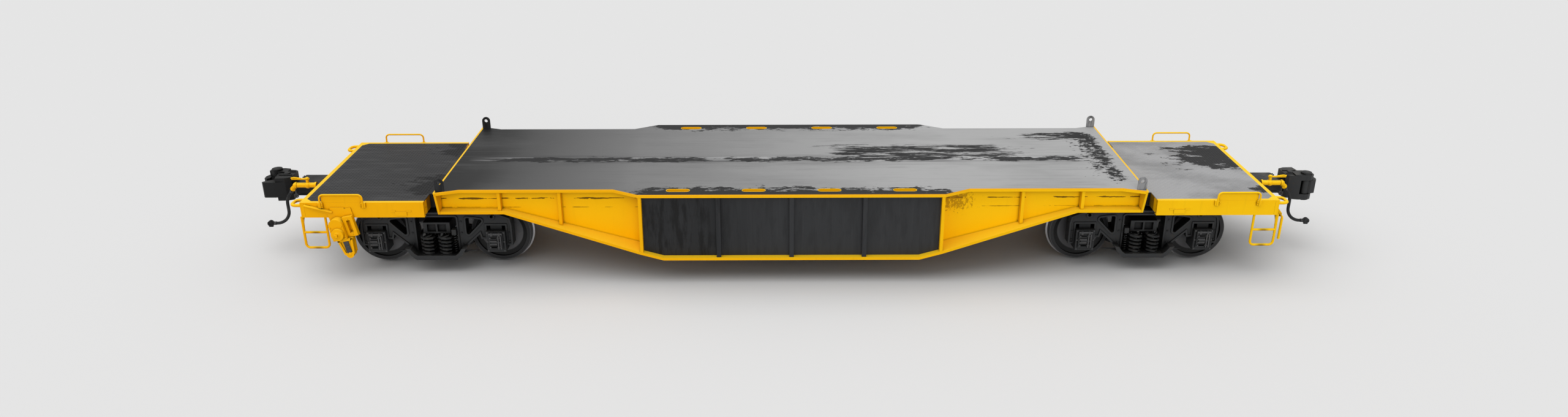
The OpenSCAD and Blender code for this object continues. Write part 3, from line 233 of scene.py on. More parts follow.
def yellow_enamel(tint):
    """Sprayed yellow enamel: painted light on top and on the webs, dirt lines on the webs, worn rungs,
    painted shade in the corners and below, soot and painted shade where it is sheltered.
    """
    made, tree, shader, place = new_material("yellow enamel, sprayed and weathered")
    x, y, z = (add(tree, "SeparateXYZ", {0: place}, axis) for axis in "XYZ")
    span = add(tree, "Math", {0: x}, operation="ABSOLUTE")
    side = add(tree, "Math", {0: y}, operation="ABSOLUTE")
    up = add(tree, "SeparateXYZ", {0: add(tree, "NewGeometry", out="Normal")}, "Z")
    # lighter towards the right, in uneven coats with thin runs
    rightward = add(tree, "MapRange", {"Value": x, "From Min": -4, "From Max": 5})
    color = stain(tree, (*tint, 1.0), "#eeba0a", 1.0, rightward)
    color = stain(tree, color, "#d99403", 0.22, patches(tree, place, 620, start=0.42, full=0.72))
    color = stain(tree, color, "#6e4a10", 0.1, patches(tree, place, 55, (1, 1, 9), 0.58, 0.8))
    # the webs, with painted light that brightens their recessed faces, their dirt lines and the smudge right
    # of the middle
    web = strip(tree, side, *WEB)
    # painted light: a brighter yellow on the webs, which the top flange shades
    color = stain(tree, color, "#fbc808", 0.45, web)
    for height, thick, cover in DIRT_LINES:
        line = strip(tree, z, (height - thick, height), (height, height + thick))
        gaps = patches(tree, place, 420, start=0.4, full=0.5)
        color = stain(tree, color, "#41290a", cover, torn(tree, place, 60, (5, 1, 1), 0.8, line, web, gaps))
    smudge = torn(tree, place, 40, (1, 1, 1.5), 0.62, strip(tree, x, *SMUDGE_X), strip(tree, z, *SMUDGE_Z))
    color = stain(tree, color, "#7a4b08", 0.55, web, smudge)
    # boots have worn the middle of the rungs
    low = add(tree, "Math", {0: z, 1: RUNG_TOP}, operation="LESS_THAN")
    color = stain(tree, color, "#5f3a06", 0.75, strip(tree, span, *RUNG_X), low)
    # brown painted shade in the corners, soot and painted shade on the sheltered inner faces
    corner_occlusion = add(tree, "AmbientOcclusion", {"Distance": 0.05}, "AO", samples=6)
    corner = add(tree, "MapRange", {"Value": corner_occlusion, "From Min": 0.75, "From Max": 0.3})
    # painted shade: brown where ambient occlusion finds a corner
    color = stain(tree, color, "#3d2503", 0.8, corner)
    # soot and painted shade: dark where ambient occlusion finds an inner face sheltered
    shelter = add(tree, "AmbientOcclusion", {"Distance": 1.2}, "AO", samples=6)
    soot_and_shade = add(tree, "MapRange", {"Value": shelter, "From Min": 0.65, "From Max": 0.4})
    inside = add(tree, "Math", {0: side, 1: INNER_FACES}, operation="LESS_THAN")
    color = stain(tree, color, "#2b2418", 0.8, inside, soot_and_shade)
    # painted light on faces that look up, painted shade on faces that look down
    painted_top_light = add(tree, "MapRange", {"Value": up, "From Min": 0.3, "From Max": 0.8})
    color = stain(tree, color, "#ffd630", 0.6, painted_top_light)
    # painted shade: dark brown on the undersides, which also keeps their yellow bounce off the floor
    painted_underside_shade = add(tree, "MapRange", {"Value": up, "From Min": -0.6, "From Max": -0.9})
    color = stain(tree, color, "#2b2418", 0.9, painted_underside_shade)
    sheen = add(tree, "MapRange", {"Value": patches(tree, place, 240), "To Min": 0.36, "To Max": 0.52})
    peel = patches(tree, place, 14, start=0.3, full=0.7)
    grain = add(tree, "Bump", {"Height": peel, "Distance": 0.0003, "Strength": 0.3})
    set_inputs(tree, shader, {
        "Base Color": color, "Roughness": sheen, "Specular IOR Level": 0.06, "Normal": grain,
    })
    return made


def black_enamel(tint):
    """Brushed black enamel: thin dusty runs, blacker on the left, scoured grey on the right-hand lugs."""
    made, tree, shader, place = new_material("black enamel, brushed and dusty")
    x, z = (add(tree, "SeparateXYZ", {0: place}, axis) for axis in "XZ")
    faded = add(tree, "MapRange", {"Value": x, "From Min": -1.2, "From Max": -0.2})
    color = stain(tree, (*tint, 1.0), "#2c2d2f", 0.8, faded)
    color = stain(tree, color, "#4d4d4f", 0.12, patches(tree, place, 40, (1, 1, 20), 0.47, 0.85))
    left = add(tree, "MapRange", {"Value": x, "From Min": -0.9, "From Max": -1.3, "To Min": 0.25})
    color = stain(tree, color, "#050506", 0.85, left, patches(tree, place, 90, (1, 1, 5), 0.48, 0.62))
    scoured = patches(tree, place, 30, (1, 1, 5), 0.25, 0.5)
    color = stain(tree, color, "#8a8a8b", 0.9, strip(tree, x, *LUG_X), strip(tree, z, *LUG_Z), scoured)
    set_inputs(tree, shader, {"Base Color": color, "Roughness": 0.5, "Specular IOR Level": 0.25})
    return made


def deck_plate(tint):
    """Rolled deck plate: scoured grey, dark to the left, torn black scuffs from loads, yellow edges."""
    made, tree, shader, place = new_material("rolled steel plate, scoured by loads")
    x, y = (add(tree, "SeparateXYZ", {0: place}, axis) for axis in "XY")
    span = add(tree, "Math", {0: x}, operation="ABSOLUTE")
    side = add(tree, "Math", {0: y}, operation="ABSOLUTE")
    tone = (*tint, 1.0)
    for code, cover, first, last in DECK_TONES:
        leftward = add(tree, "MapRange", {"Value": x, "From Min": first, "From Max": last})
        tone = stain(tree, tone, code, cover, leftward)
    tone = stain(tree, tone, "#5e5e5e", 0.3, patches(tree, place, 800, (2.6, 1, 1), 0.45, 0.75))
    scratches = patches(tree, place, 46, (40, 1, 1), 0.5, 0.72)
    tone = stain(tree, tone, "#505051", 0.4, scratches, patches(tree, place, 900, start=0.4, full=0.6))
    # the long scrape down the middle, bright beside its torn black core
    run = strip(tree, x, *SCRAPE_X)
    dull = patches(tree, place, 150, (12, 1, 1), 0.42, 0.62)
    tone = stain(tree, tone, "#3e3e3f", 0.6, strip(tree, y, *SCRAPE_HALO), run, dull)
    shine = patches(tree, place, 90, (14, 1, 1), 0.46, 0.52)
    tone = stain(tree, tone, "#b9b9ba", 0.6, strip(tree, y, *SCRAPE_SHINE), run, shine)
    breaks = patches(tree, place, 620, (1.6, 0.6, 1), 0.36, 0.5)
    core = torn(tree, place, 62, (4, 1, 1), 0.72, strip(tree, y, *SCRAPE_CORE), run, breaks)
    tone = stain(tree, tone, "#161617", 0.97, core)
    # the fan of scuffs that leaves it on the right
    for turn, low, high in FAN_SCUFFS:
        across = strip(tree, y, (low - 0.06, low + 0.06), (high - 0.1, high + 0.12))
        scuff = torn(tree, place, 55, (8, 1, 1), 0.52, across, strip(tree, x, *FAN_X), turn=turn)
        tone = stain(tree, tone, "#161617", 0.95, scuff)
    for across, along, stretch in SOOT:
        soot = torn(tree, place, 80, (stretch, 1, 1), 0.76, strip(tree, y, *across), strip(tree, x, *along))
        tone = stain(tree, tone, "#121213", 0.98, soot)
    # the black ledge along the wide middle's edges, torn towards the deck's own middle
    across, along = strip(tree, side, *LEDGE_Y), strip(tree, span, *LEDGE_X)
    ledge = torn(tree, place, 85, (2.6, 1, 1), 1.0, across, along)
    tone = stain(tree, tone, "#161617", 0.97, ledge)
    # yellow edges and a yellow nosing at each end
    up = add(tree, "SeparateXYZ", {0: add(tree, "NewGeometry", out="Normal")}, "Z")
    edge = add(tree, "Math", {0: up, 1: 0.5}, operation="LESS_THAN")
    color = stain(tree, tone, "#f0ae08", 1.0, edge)
    nosing = add(tree, "Math", {0: span, 1: DECK_NOSING}, operation="GREATER_THAN")
    color = stain(tree, color, "#f8c418", 1.0, nosing)
    rolled = patches(tree, place, 24, (9, 1, 1), 0.3, 0.7)
    grain = add(tree, "Bump", {"Height": rolled, "Distance": 0.0003, "Strength": 0.3})
    set_inputs(tree, shader, {
        "Base Color": color, "Metallic": 0.1, "Roughness": 0.5, "Specular IOR Level": 0.2, "Normal": grain,
    })
    return made


def tread_plate():
    """Rolled tread plate: dark paint, worn grey on the right-hand platform, streaks and torn patches."""
    made, tree, shader, place = new_material("tread plate, rolled and painted dark")
    x, y = (add(tree, "SeparateXYZ", {0: place}, axis) for axis in "XY")
    worn = add(tree, "MapRange", {"Value": x, "From Min": -1, "From Max": 1})
    tone = stain(tree, linear("#333334"), "#a0a0a1", 1.0, worn)
    tone = stain(tree, tone, "#2a2a2b", 0.5, patches(tree, place, 640, (1.6, 1, 1), 0.42, 0.72))
    tone = stain(tree, tone, "#959596", 0.1, patches(tree, place, 90, (7, 1, 1), 0.5, 0.75))
    for across, along in TREAD_PATCHES:
        patch = torn(tree, place, 130, (2.2, 1, 1), 0.8, strip(tree, y, *across), strip(tree, x, *along))
        tone = stain(tree, tone, "#161617", 0.95, patch)
    set_inputs(tree, shader, {
        "Base Color": tone, "Metallic": 0.1, "Roughness": 0.52, "Specular IOR Level": 0.2,
    })
    return made


def cast_steel(name, code, rough, dust):
    """Sand-cast steel under a black wash: dusty on upper faces, black painted shade in the hollows, black at
    the left-hand tip.
    """
    made, tree, shader, place = new_material(name)
    x = add(tree, "SeparateXYZ", {0: place}, "X")
    up = add(tree, "SeparateXYZ", {0: add(tree, "NewGeometry", out="Normal")}, "Z")
    settled = add(tree, "MapRange", {"Value": up, "From Min": 0.2, "From Max": 0.9})
    drift = patches(tree, place, 160, start=0.4, full=0.75)
    color = stain(tree, linear(code), "#6a665e", dust, settled, drift)
    color = stain(tree, color, "#3c332a", 0.35, patches(tree, place, 70, start=0.56, full=0.74))
    # painted shade: black where ambient occlusion finds a hollow
    shade = add(tree, "AmbientOcclusion", {"Distance": 0.25}, "AO", samples=6)
    hollow_shade = add(tree, "MapRange", {"Value": shade, "From Min": 0.88, "From Max": 0.5})
    color = stain(tree, color, "#010101", 0.97, hollow_shade)
    leftmost = add(tree, "MapRange", {"Value": x, "From Min": -7.0, "From Max": -7.5})
    color = stain(tree, color, "#050505", 0.75, leftmost)
    sand = patches(tree, place, 6, start=0.2, full=0.8)
    grain = add(tree, "Bump", {"Height": sand, "Distance": 0.0006, "Strength": 0.45})
    set_inputs(tree, shader, {
        "Base Color": color, "Roughness": rough, "Specular IOR Level": 0.2, "Normal": grain,
    })
    return made


def wheel_steel():
    """Forged wheels: grey oxide on the plates, black painted shade inside dark rims, dull treads, bright
    flanges.
    """
    made, tree, shader, place = new_material("wheel steel, forged with a rolled tread")
    x, z = (add(tree, "SeparateXYZ", {0: place}, axis) for axis in "XZ")
    # how far a point is from the axle that it turns on
    span = add(tree, "Math", {0: x}, operation="ABSOLUTE")
    offset = add(tree, "Math", {0: span, 1: BOGIE_X}, operation="SUBTRACT")
    reach = add(tree, "Math", {0: offset}, operation="ABSOLUTE")
    along = add(tree, "Math", {0: reach, 1: AXLE_DX}, operation="SUBTRACT")
    rise = add(tree, "Math", {0: z, 1: AXLE_Z}, operation="SUBTRACT")
    flat = add(tree, "CombineXYZ", {0: along, 2: rise})
    radius = add(tree, "VectorMath", {0: flat}, "Value", operation="LENGTH")
    tread, flange = (add(tree, "MapRange", {"Value": radius, "From Min": low, "From Max": high})
                     for low, high in (WHEEL_TREAD, WHEEL_FLANGE))
    color = stain(tree, linear("#4e4e50"), "#565350", 0.6, patches(tree, place, 60))
    color = stain(tree, color, "#1c1c1d", 0.95, strip(tree, radius, *WHEEL_RIM))
    # painted shade: black on the web's recess and the rim's inner lip
    color = stain(tree, color, "#010101", 0.99, strip(tree, radius, *WHEEL_PAINTED_SHADE))
    color = stain(tree, color, "#4c4c4e", 1.0, tread)
    color = stain(tree, color, "#c4c4c6", 1.0, flange)
    metal = add(tree, "MapRange", {"Value": flange, "To Max": 0.55})
    sheen = add(tree, "MapRange", {"Value": flange, "To Min": 0.55, "To Max": 0.34})
    set_inputs(tree, shader, {
        "Base Color": color, "Metallic": metal, "Roughness": sheen, "Specular IOR Level": 0.35,
    })
    return made


def dull_skin(name, code, rough):
    """One even dark tone: paint or rubber whose sheen is a little uneven where hands and dust touch it."""
    made, tree, shader, place = new_material(name)
    color = stain(tree, linear(code), "#57534d", 0.25, patches(tree, place, 120))
    touched = patches(tree, place, 80)
    sheen = add(tree, "MapRange", {"Value": touched, "To Min": rough - 0.08, "To Max": rough + 0.08})
    set_inputs(tree, shader, {"Base Color": color, "Roughness": sheen, "Specular IOR Level": 0.35})
    return made


FINISH = {}


def make_finishes(colors):
    """One finish for each of the record's material slots."""
    FINISH.update({
        "yellow_paint": yellow_enamel(colors.yellow),
        "black_paint": black_enamel(colors.black),
        "deck_steel": deck_plate(colors.deck),
        "tread_plate": tread_plate(),
        "cast_steel": cast_steel("cast steel, black wash", "#2d2e2f", 0.45, 0.5),
        "spring_steel": cast_steel("spring steel, coiled and dipped black", "#212223", 0.4, 0.3),
        "wheel_steel": wheel_steel(),
        "pipe_steel": dull_skin("pipe steel, drawn and painted dark", "#39393a", 0.55),
        "rubber_hose": dull_skin("hose rubber, wrapped and cured", "#131415", 0.6),
    })


# Trim that many pieces share, in metres or as shares of a thread's size

# how deep small trim is let into what carries it
SUNK = 0.004
# height along the axis and radius of a bolt's washer and head
WASHER_SHARES = ((0.16, 0.8), (0.18, 0.7))
HEAD_SEAT_SHARE = 0.1
HEAD_SHARES = ((0, 0.6), (0.55, 0.6), (0.65, 0.48))
# threads of the bolts on each piece, as shares of the size that is set for them
FRAME_BOLT_SHARE, CHORD_BOLT_SHARE, BOX_BOLT_SHARE, MOUTH_BOLT_SHARE = 0.8, 0.7, 0.8, 0.6
IRON_BOLT_SHARE, HOUSING_BOLT_SHARE, HUB_BOLT_SHARE, CYLINDER_BOLT_SHARE = 0.5, 0.7, 0.45, 0.6


# Mesh helpers: each adds a closed shape to the piece that is being built


def put_box(bm, low, high, turn=None):
    """A box between two corners, turned about its own middle."""
    low, high = Vector(low), Vector(high)
    place = Matrix.Translation((low + high) / 2) @ (turn or Matrix())
    bmesh.ops.create_cube(bm, size=1.0, matrix=place @ Matrix.Diagonal((*(high - low), 1.0)))


def put_turned(bm, foot, axis, profile, sides=20):
    """A turned shape on an axis: profile rows are height along the axis and radius, from foot to tip."""
    foot, axis = Vector(foot), Vector(axis).normalized()
    place = Matrix.Translation(foot) @ axis.to_track_quat("Z", "Y").to_matrix().to_4x4()
    turns = [2 * math.pi * j / sides for j in range(sides)]
    rings = [[bm.verts.new(place @ Vector((r * math.cos(t), r * math.sin(t), h))) for t in turns]
             for h, r in profile]
    join_rings(bm, rings)


def join_rings(bm, rings):
    """Quads between rings of points and a cap on the first and the last."""
    sides = len(rings[0])
    for a, b in zip(rings, rings[1:]):
        for j in range(sides):
            k = (j + 1) % sides
            bm.faces.new((a[j], a[k], b[k], b[j]))
    bm.faces.new(list(reversed(rings[0])))
    bm.faces.new(rings[-1])


def put_bolt(bm, foot, axis, size):
    """A hexagon head with a worn crown on its washer, for a thread of this size."""
    washer = [(h * size, r * size) for h, r in WASHER_SHARES]
    put_turned(bm, foot, axis, [(-SUNK, washer[0][1]), *washer], 14)
    seat = Vector(foot) + Vector(axis).normalized() * HEAD_SEAT_SHARE * size
    put_turned(bm, seat, axis, [(h * size, r * size) for h, r in HEAD_SHARES], 6)


def put_tube(bm, points, radius, sides=16):
    """A round bar along a line of points, closed at both ends."""
    points = [Vector(p) for p in points]
    last = len(points) - 1
    ways = [(points[min(i + 1, last)] - points[max(i - 1, 0)]).normalized() for i in range(last + 1)]
    turns = [2 * math.pi * j / sides for j in range(sides)]
    across = ways[0].orthogonal().normalized()
    rings = []
    for p, way in zip(points, ways):
        across = (across - way * across.dot(way)).normalized()
        other = way.cross(across)
        ring = [p + radius * (math.cos(t) * across + math.sin(t) * other) for t in turns]
        rings.append([bm.verts.new(v) for v in ring])
    join_rings(bm, rings)


def put_coil(bm, foot, height, radius, wire, turns, steps=14):
    """A round-wire spring standing on foot, with its wire's radius and so many steps to a turn."""
    count = int(turns * steps)
    foot = Vector(foot)
    route = []
    for i in range(count + 1):
        turn = 2 * math.pi * i / steps
        rise = wire + (height - 2 * wire) * i / count
        route.append(foot + Vector((radius * math.cos(turn), radius * math.sin(turn), rise)))
    put_tube(bm, route, wire, 8)


def put_rim(bm, node, side, plane, width, proud):
    """A raised rim along all the edges of a casting's flat face, which looks along Y at plane."""
    faces = bmesh.new()
    faces.from_mesh(node.data)
    bmesh.ops.remove_doubles(faces, verts=faces.verts, dist=0.0002)
    kept = {f for f in faces.faces
            if f.normal.y * side > 0.99 and abs(f.calc_center_median().y - plane) < 0.002}
    bmesh.ops.delete(faces, geom=[f for f in faces.faces if f not in kept], context="FACES")
    bmesh.ops.dissolve_limit(faces, angle_limit=0.02, verts=faces.verts, edges=faces.edges)
    inner = bmesh.ops.inset_region(
        faces, faces=faces.faces, thickness=width, use_boundary=True, use_even_offset=True)
    ring = set(inner["faces"])
    bmesh.ops.delete(faces, geom=[f for f in faces.faces if f not in ring], context="FACES")
    raised = bmesh.ops.extrude_face_region(faces, geom=faces.faces[:])
    tops = [v for v in raised["geom"] if isinstance(v, bmesh.types.BMVert)]
    bmesh.ops.translate(faces, verts=tops, vec=(0, side * proud, 0))
    bmesh.ops.recalc_face_normals(faces, faces=faces.faces)
    spare = bpy.data.meshes.new("rim")
    faces.to_mesh(spare)
    faces.free()
    bm.from_mesh(spare)
    bpy.data.meshes.remove(spare)


def smooth(data, sharp):
    """Shades a mesh smooth, apart from edges sharper than so many degrees."""
    data.polygons.foreach_set("use_smooth", [True] * len(data.polygons))
    data.set_sharp_from_angle(angle=math.radians(sharp))


def finish_piece(bm, name, body, slot):
    """Makes the piece, gives it its finish and lets it ride on its body."""
    bmesh.ops.recalc_face_normals(bm, faces=bm.faces)
    data = bpy.data.meshes.new(name)
    bm.to_mesh(data)
    bm.free()
    data.materials.append(FINISH[slot])
    smooth(data, TRIM_SHARP)
    piece = bpy.data.objects.new(name, data)
    bpy.context.scene.collection.objects.link(piece)
    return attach(piece, body) or piece


def hose_route(sign):
    """The hose's middle line: along the nipple, over into the fall, and out to the hose coupling."""
    ahead = Vector((math.cos(NIPPLE_TILT), 0, -math.sin(NIPPLE_TILT)))
    inward = Vector((-math.sin(NIPPLE_TILT), 0, -math.cos(NIPPLE_TILT)))
    start = Vector((COCK[0], HOSE_Y, COCK[1])) + NIPPLE * ahead
    bend = start + HOSE_LEAD * ahead + HOSE_BEND * inward
    sweep = bend + Vector((HOSE_BEND + HOSE_SWEEP, 0, -HOSE_FALL))
    # middle, radius, first angle, last angle and steps
    arcs = (
        (bend, HOSE_BEND, math.pi / 2 - NIPPLE_TILT, 0, 8),
        (sweep, HOSE_SWEEP, math.pi, 1.5 * math.pi, 14),
    )
    route = [start, start + 0.5 * HOSE_LEAD * ahead]
    for middle, radius, first, last, steps in arcs:
        for i in range(steps + 1):
            turn = first + (last - first) * i / steps
            route.append(middle + radius * Vector((math.cos(turn), 0, math.sin(turn))))
    route.append(sweep + Vector((HOSE_TAIL, 0, -HOSE_SWEEP)))
    return [Vector((sign * p.x, p.y, p.z)) for p in route]


# Settings


class WagonColors(bpy.types.PropertyGroup):
    yellow: bpy.props.FloatVectorProperty(
        name="Yellow", description="Enamel on the girders, platforms and steps", subtype="COLOR",
        default=linear("#e9a703")[:3], min=0.0, max=1.0)
    black: bpy.props.FloatVectorProperty(
        name="Black", description="Enamel on the side panels", subtype="COLOR",
        default=linear("#1e1f21")[:3], min=0.0, max=1.0)
    deck: bpy.props.FloatVectorProperty(
        name="Deck", description="Scoured plate at the deck's right-hand end", subtype="COLOR",
        default=linear("#a6a6a6")[:3], min=0.0, max=1.0)


class WagonTrim(bpy.types.PropertyGroup):
    bolt: bpy.props.FloatProperty(
        name="Bolt size", description="Thread size that the bolt heads are drawn for",
        default=0.024, min=0.005, unit="LENGTH", subtype="DISTANCE")
    hose: bpy.props.FloatProperty(
        name="Hose diameter", description="Outer diameter of the brake hoses",
        default=0.048, min=0.01, unit="LENGTH", subtype="DISTANCE")
    bar_pitch: bpy.props.FloatProperty(
        name="Tread pitch", description="Spacing of the raised bars on the platforms",
        default=0.042, min=0.02, unit="LENGTH", subtype="DISTANCE")


class WagonStage(bpy.types.PropertyGroup):
    floor: bpy.props.FloatProperty(
        name="Floor size", description="Width of the pale floor",
        default=600.0, min=30.0, unit="LENGTH", subtype="DISTANCE")
    sun: bpy.props.FloatProperty(
        name="Front light", description="Strength of the soft light from the camera's side",
        default=1.06, min=0.0)
    top: bpy.props.FloatProperty(
        name="Top light", description="Strength of the wide light overhead", default=1.53, min=0.0)
    sky: bpy.props.FloatProperty(
        name="Sky", description="Strength of the even light all round", default=0.55, min=0.0)


# Camera


class WAGON_OT_camera(bpy.types.Operator):
    """Set the camera as in the photograph"""

    bl_idname = "wagon.camera"
    bl_label = "Camera"

    def execute(self, context):
        pitch, yaw, roll = (math.radians(a) for a in CAMERA_TURN)
        level = Vector((math.cos(yaw), -math.sin(yaw), 0))
        forward = Vector((math.sin(yaw), math.cos(yaw), 0))
        ahead = math.cos(pitch) * forward - Vector((0, 0, math.sin(pitch)))
        top = level.cross(ahead)
        right = math.cos(roll) * level + math.sin(roll) * top
        up = math.cos(roll) * top - math.sin(roll) * level
        data = bpy.data.cameras.new("Camera")
        data.sensor_width = CAMERA_SENSOR
        data.lens = CAMERA_LENS
        data.clip_end = CAMERA_REACH
        camera = bpy.data.objects.new("Camera", data)
        turn = Matrix((right, up, -ahead)).transposed().to_4x4()
        camera.matrix_world = Matrix.Translation(CAMERA_PLACE) @ turn
        context.scene.collection.objects.link(camera)
        context.scene.camera = camera
        return {"FINISHED"}


# Hoses

CLAMP_INSET, CLAMP_WIDE, CLAMP_SHARE = 0.012, 0.022, 0.58
EAR_HALF, EAR_SHARE = 0.012, 0.95
NUT_GAP, NUT_PROFILE = 0.006, ((0, 0.02), (0, 0.032), (0.018, 0.032), (0.024, 0.026))
SEAL_OUT, SEAL_Y = 0.056, 0.027
SEAL_PROFILE = ((0, 0.04), (0.006, 0.04), (0.009, 0.034), (0.009, 0.02), (0.004, 0.02))
TAB_HALF_X, TAB_HALF_Y, TAB_LOW, TAB_HIGH = 0.03, 0.016, 0.058, 0.03


class WAGON_OT_hoses(bpy.types.Operator):
    """Lay the two brake hoses along their routes, with their clamps and couplings"""

    bl_idname = "wagon.hoses"
    bl_label = "Brake Hoses"

    def execute(self, context):
        make_finishes(context.scene.wagon_colors)
        size = context.scene.wagon_trim.hose
        for end, sign in ENDS:
            route = hose_route(sign)
            bm = bmesh.new()
            put_tube(bm, route, size / 2, 20)
            hose = finish_piece(bm, "brake_hose_" + end, "wagon", "rubber_hose")
            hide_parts("hose_" + end)
            clamps = finish_piece(self.clamps(route, size), "hose_clamps_" + end, "wagon", "pipe_steel")
            coupling = self.coupling(route[-1], sign)
            trim = finish_piece(coupling, "hose_coupling_trim_" + end, "wagon", "cast_steel")
        return {"FINISHED"}

    def clamps(self, route, size):
        """A band with an ear round each end of the hose."""
        bm = bmesh.new()
        inner, outer = size / 2, size * CLAMP_SHARE
        for a, b in ((route[0], route[1]), (route[-1], route[-2])):
            way = (b - a).normalized()
            foot = a + way * CLAMP_INSET
            put_turned(bm, foot, way, ((0, inner), (0, outer), (CLAMP_WIDE, outer), (CLAMP_WIDE, inner)))
            ear = foot + way * CLAMP_WIDE / 2
            put_box(bm, ear - Vector((EAR_HALF, size * EAR_SHARE, EAR_HALF)),
                    ear + Vector((EAR_HALF, -inner, EAR_HALF)))
        return bm

    def coupling(self, tip, sign):
        """The nut behind a hose coupling, the seals on both its faces and the tab under it."""
        bm = bmesh.new()
        out = Vector((sign, 0, 0))
        put_turned(bm, tip + out * NUT_GAP, out, NUT_PROFILE, 8)
        face = tip + out * SEAL_OUT
        for side in SIDES:
            put_turned(bm, face + Vector((0, side * SEAL_Y, 0)), (0, side, 0), SEAL_PROFILE)
        put_box(bm, face - Vector((TAB_HALF_X, TAB_HALF_Y, TAB_LOW)),
                face - Vector((-TAB_HALF_X, -TAB_HALF_Y, TAB_HIGH)))
        return bm


# Paint and metal on the frame's own pieces


class WAGON_OT_finishes(bpy.types.Operator):
    """Paint the frame's own pieces"""

    bl_idname = "wagon.finishes"
    bl_label = "Paint and Metal"

    def execute(self, context):
        for entry in frame["record"]["subparts"]:
            data = frame["nodes"][entry["node"]].data
            data.materials.clear()
            data.materials.append(FINISH[entry["material_slot"]])
            smooth(data, FRAME_SHARP)
        return {"FINISHED"}


# Tread bars

BAR_LONG_SHARE, BAR_WIDE_SHARE, BAR_TALL, BAR_SUNK = 0.36, 0.1, 0.0032, 0.001
BARE_EDGE, BARE_CORNER = 0.02, 0.13
# a bar's foot and crest as shares of its half length and half width, and the faces between them
BAR_FOOT_SHARES = ((-1, 0), (-0.3, -1), (0.3, -1), (1, 0), (0.3, 1), (-0.3, 1))
BAR_CREST_SHARES = (-0.5, 0.5)
BAR_FACES = ((0, 1, 6), (1, 2, 7, 6), (2, 3, 7), (3, 4, 7), (4, 5, 6, 7), (5, 0, 6), (5, 4, 3, 2, 1, 0))


class WAGON_OT_tread_bars(bpy.types.Operator):
    """Raise the crossed bars of the tread plates on both platforms"""

    bl_idname = "wagon.tread_bars"
    bl_label = "Tread Bars"

    def execute(self, context):
        pitch = context.scene.wagon_trim.bar_pitch
        rows = int((END_SILL - BARE_EDGE - PLATFORM_START) / pitch)
        columns = int(2 * (PLATFORM_HALF - BARE_EDGE) / pitch)
        for end, sign in ENDS:
            bm = bmesh.new()
            for i in range(rows):
                for j in range(columns):
                    x = PLATFORM_START + (i + 0.5) * pitch
                    y = (j + 0.5 - columns / 2) * pitch
                    if END_SILL - x + PLATFORM_HALF - abs(y) >= BARE_CORNER:
                        self.bar(bm, Vector((sign * x, y, PLATFORM_TOP)), pitch, 1 if (i + j) % 2 else -1)
            finish_piece(bm, "tread_bars_" + end, "wagon", "tread_plate")
        return {"FINISHED"}

    def bar(self, bm, middle, pitch, lean):
        """One pointed bar with a crest, which leans to one side or the other."""
        way = Vector((1, lean, 0)) * math.sqrt(0.5) * BAR_LONG_SHARE * pitch
        off = Vector((-lean, 1, 0)) * math.sqrt(0.5) * BAR_WIDE_SHARE * pitch
        foot = [middle + way * u + off * v - Vector((0, 0, BAR_SUNK)) for u, v in BAR_FOOT_SHARES]
        crest = [middle + way * u + Vector((0, 0, BAR_TALL)) for u in BAR_CREST_SHARES]
        points = [bm.verts.new(p) for p in foot + crest]
        for corners in BAR_FACES:
            bm.faces.new([points[k] for k in corners])


# Bogie trim

RIM_WIDE, RIM_PROUD = 0.026, 0.014
# height of the foot, height, radius, wire's radius and turns of the springs
INNER_SPRING = (0.292, 0.3, 0.052, 0.013, 6.0)
DAMPER_SPRING = (0.285, 0.31, 0.024, 0.008, 8.0)
DAMPER_DX, DAMPER_Y = 0.267, 1.115
# half width, inner and outer face, and underside and top of the wedge over it
WEDGE_HALF, WEDGE_Y, WEDGE_Z = 0.033, (1.03, 1.15), (0.59, 0.67)
SPRING_CAP_Z, SPRING_CAP_PROFILE = 0.286, ((0, 0.118), (0.012, 0.118), (0.016, 0.11), (0.016, 0.03))
# places along the frame from its middle, and heights, of the bolts on a side frame
COLUMN_BOLT_DX, COLUMN_BOLT_Z = 0.37, (0.42, 0.6, 0.78)
CHORD_BOLTS = ((0.19, 0.866), (0.56, 0.9))
LEG_BOLT_DX, LEG_BOLT_Z = AXLE_DX + 0.188, (0.46, 0.6)
# half of the chin's outline, down its outside and up its hollow, and its three sections across
CHIN_OUTSIDE = ((0.45, 0.41), (0.385, 0.3), (0.3, 0.226))
CHIN_HOLLOW = ((0.28, 0.294), (0.33, 0.33), (0.38, 0.4))
CHIN_Y = (1.07, 1.2, 1.248)

# slats, ribs, hinge, hinge leaves and bolts of a journal lid: along and up are from its axle's middle
SLATS, SLAT_LOW, SLAT_STEP, SLAT_TALL = 4, -0.09, 0.05, 0.022
SLAT_X, SLAT_BACK, SLAT_PROUD = (-0.088, 0.02), 0.006, 0.014
RIBS_DX, RIB_HALF, RIB_REACH, RIB_BACK, RIB_PROUD = (0.042, 0.078), 0.009, 0.108, 0.008, 0.018
HINGE = (-0.105, 1.186, 0.128)
HINGE_PROFILE = ((0, 0.012), (0.004, 0.018), (0.206, 0.018), (0.21, 0.012))
LEAVES_DX, LEAF_HALF, LEAF_Y, LEAF_Z = (-0.055, 0.055), 0.016, (1.165, 1.206), (0.1, 0.15)
BOX_BOLTS_DX, BOX_BOLTS_DZ, BOX_FLANGE = (-0.122, 0.122), (-0.145, 0.0, 0.145), 1.168


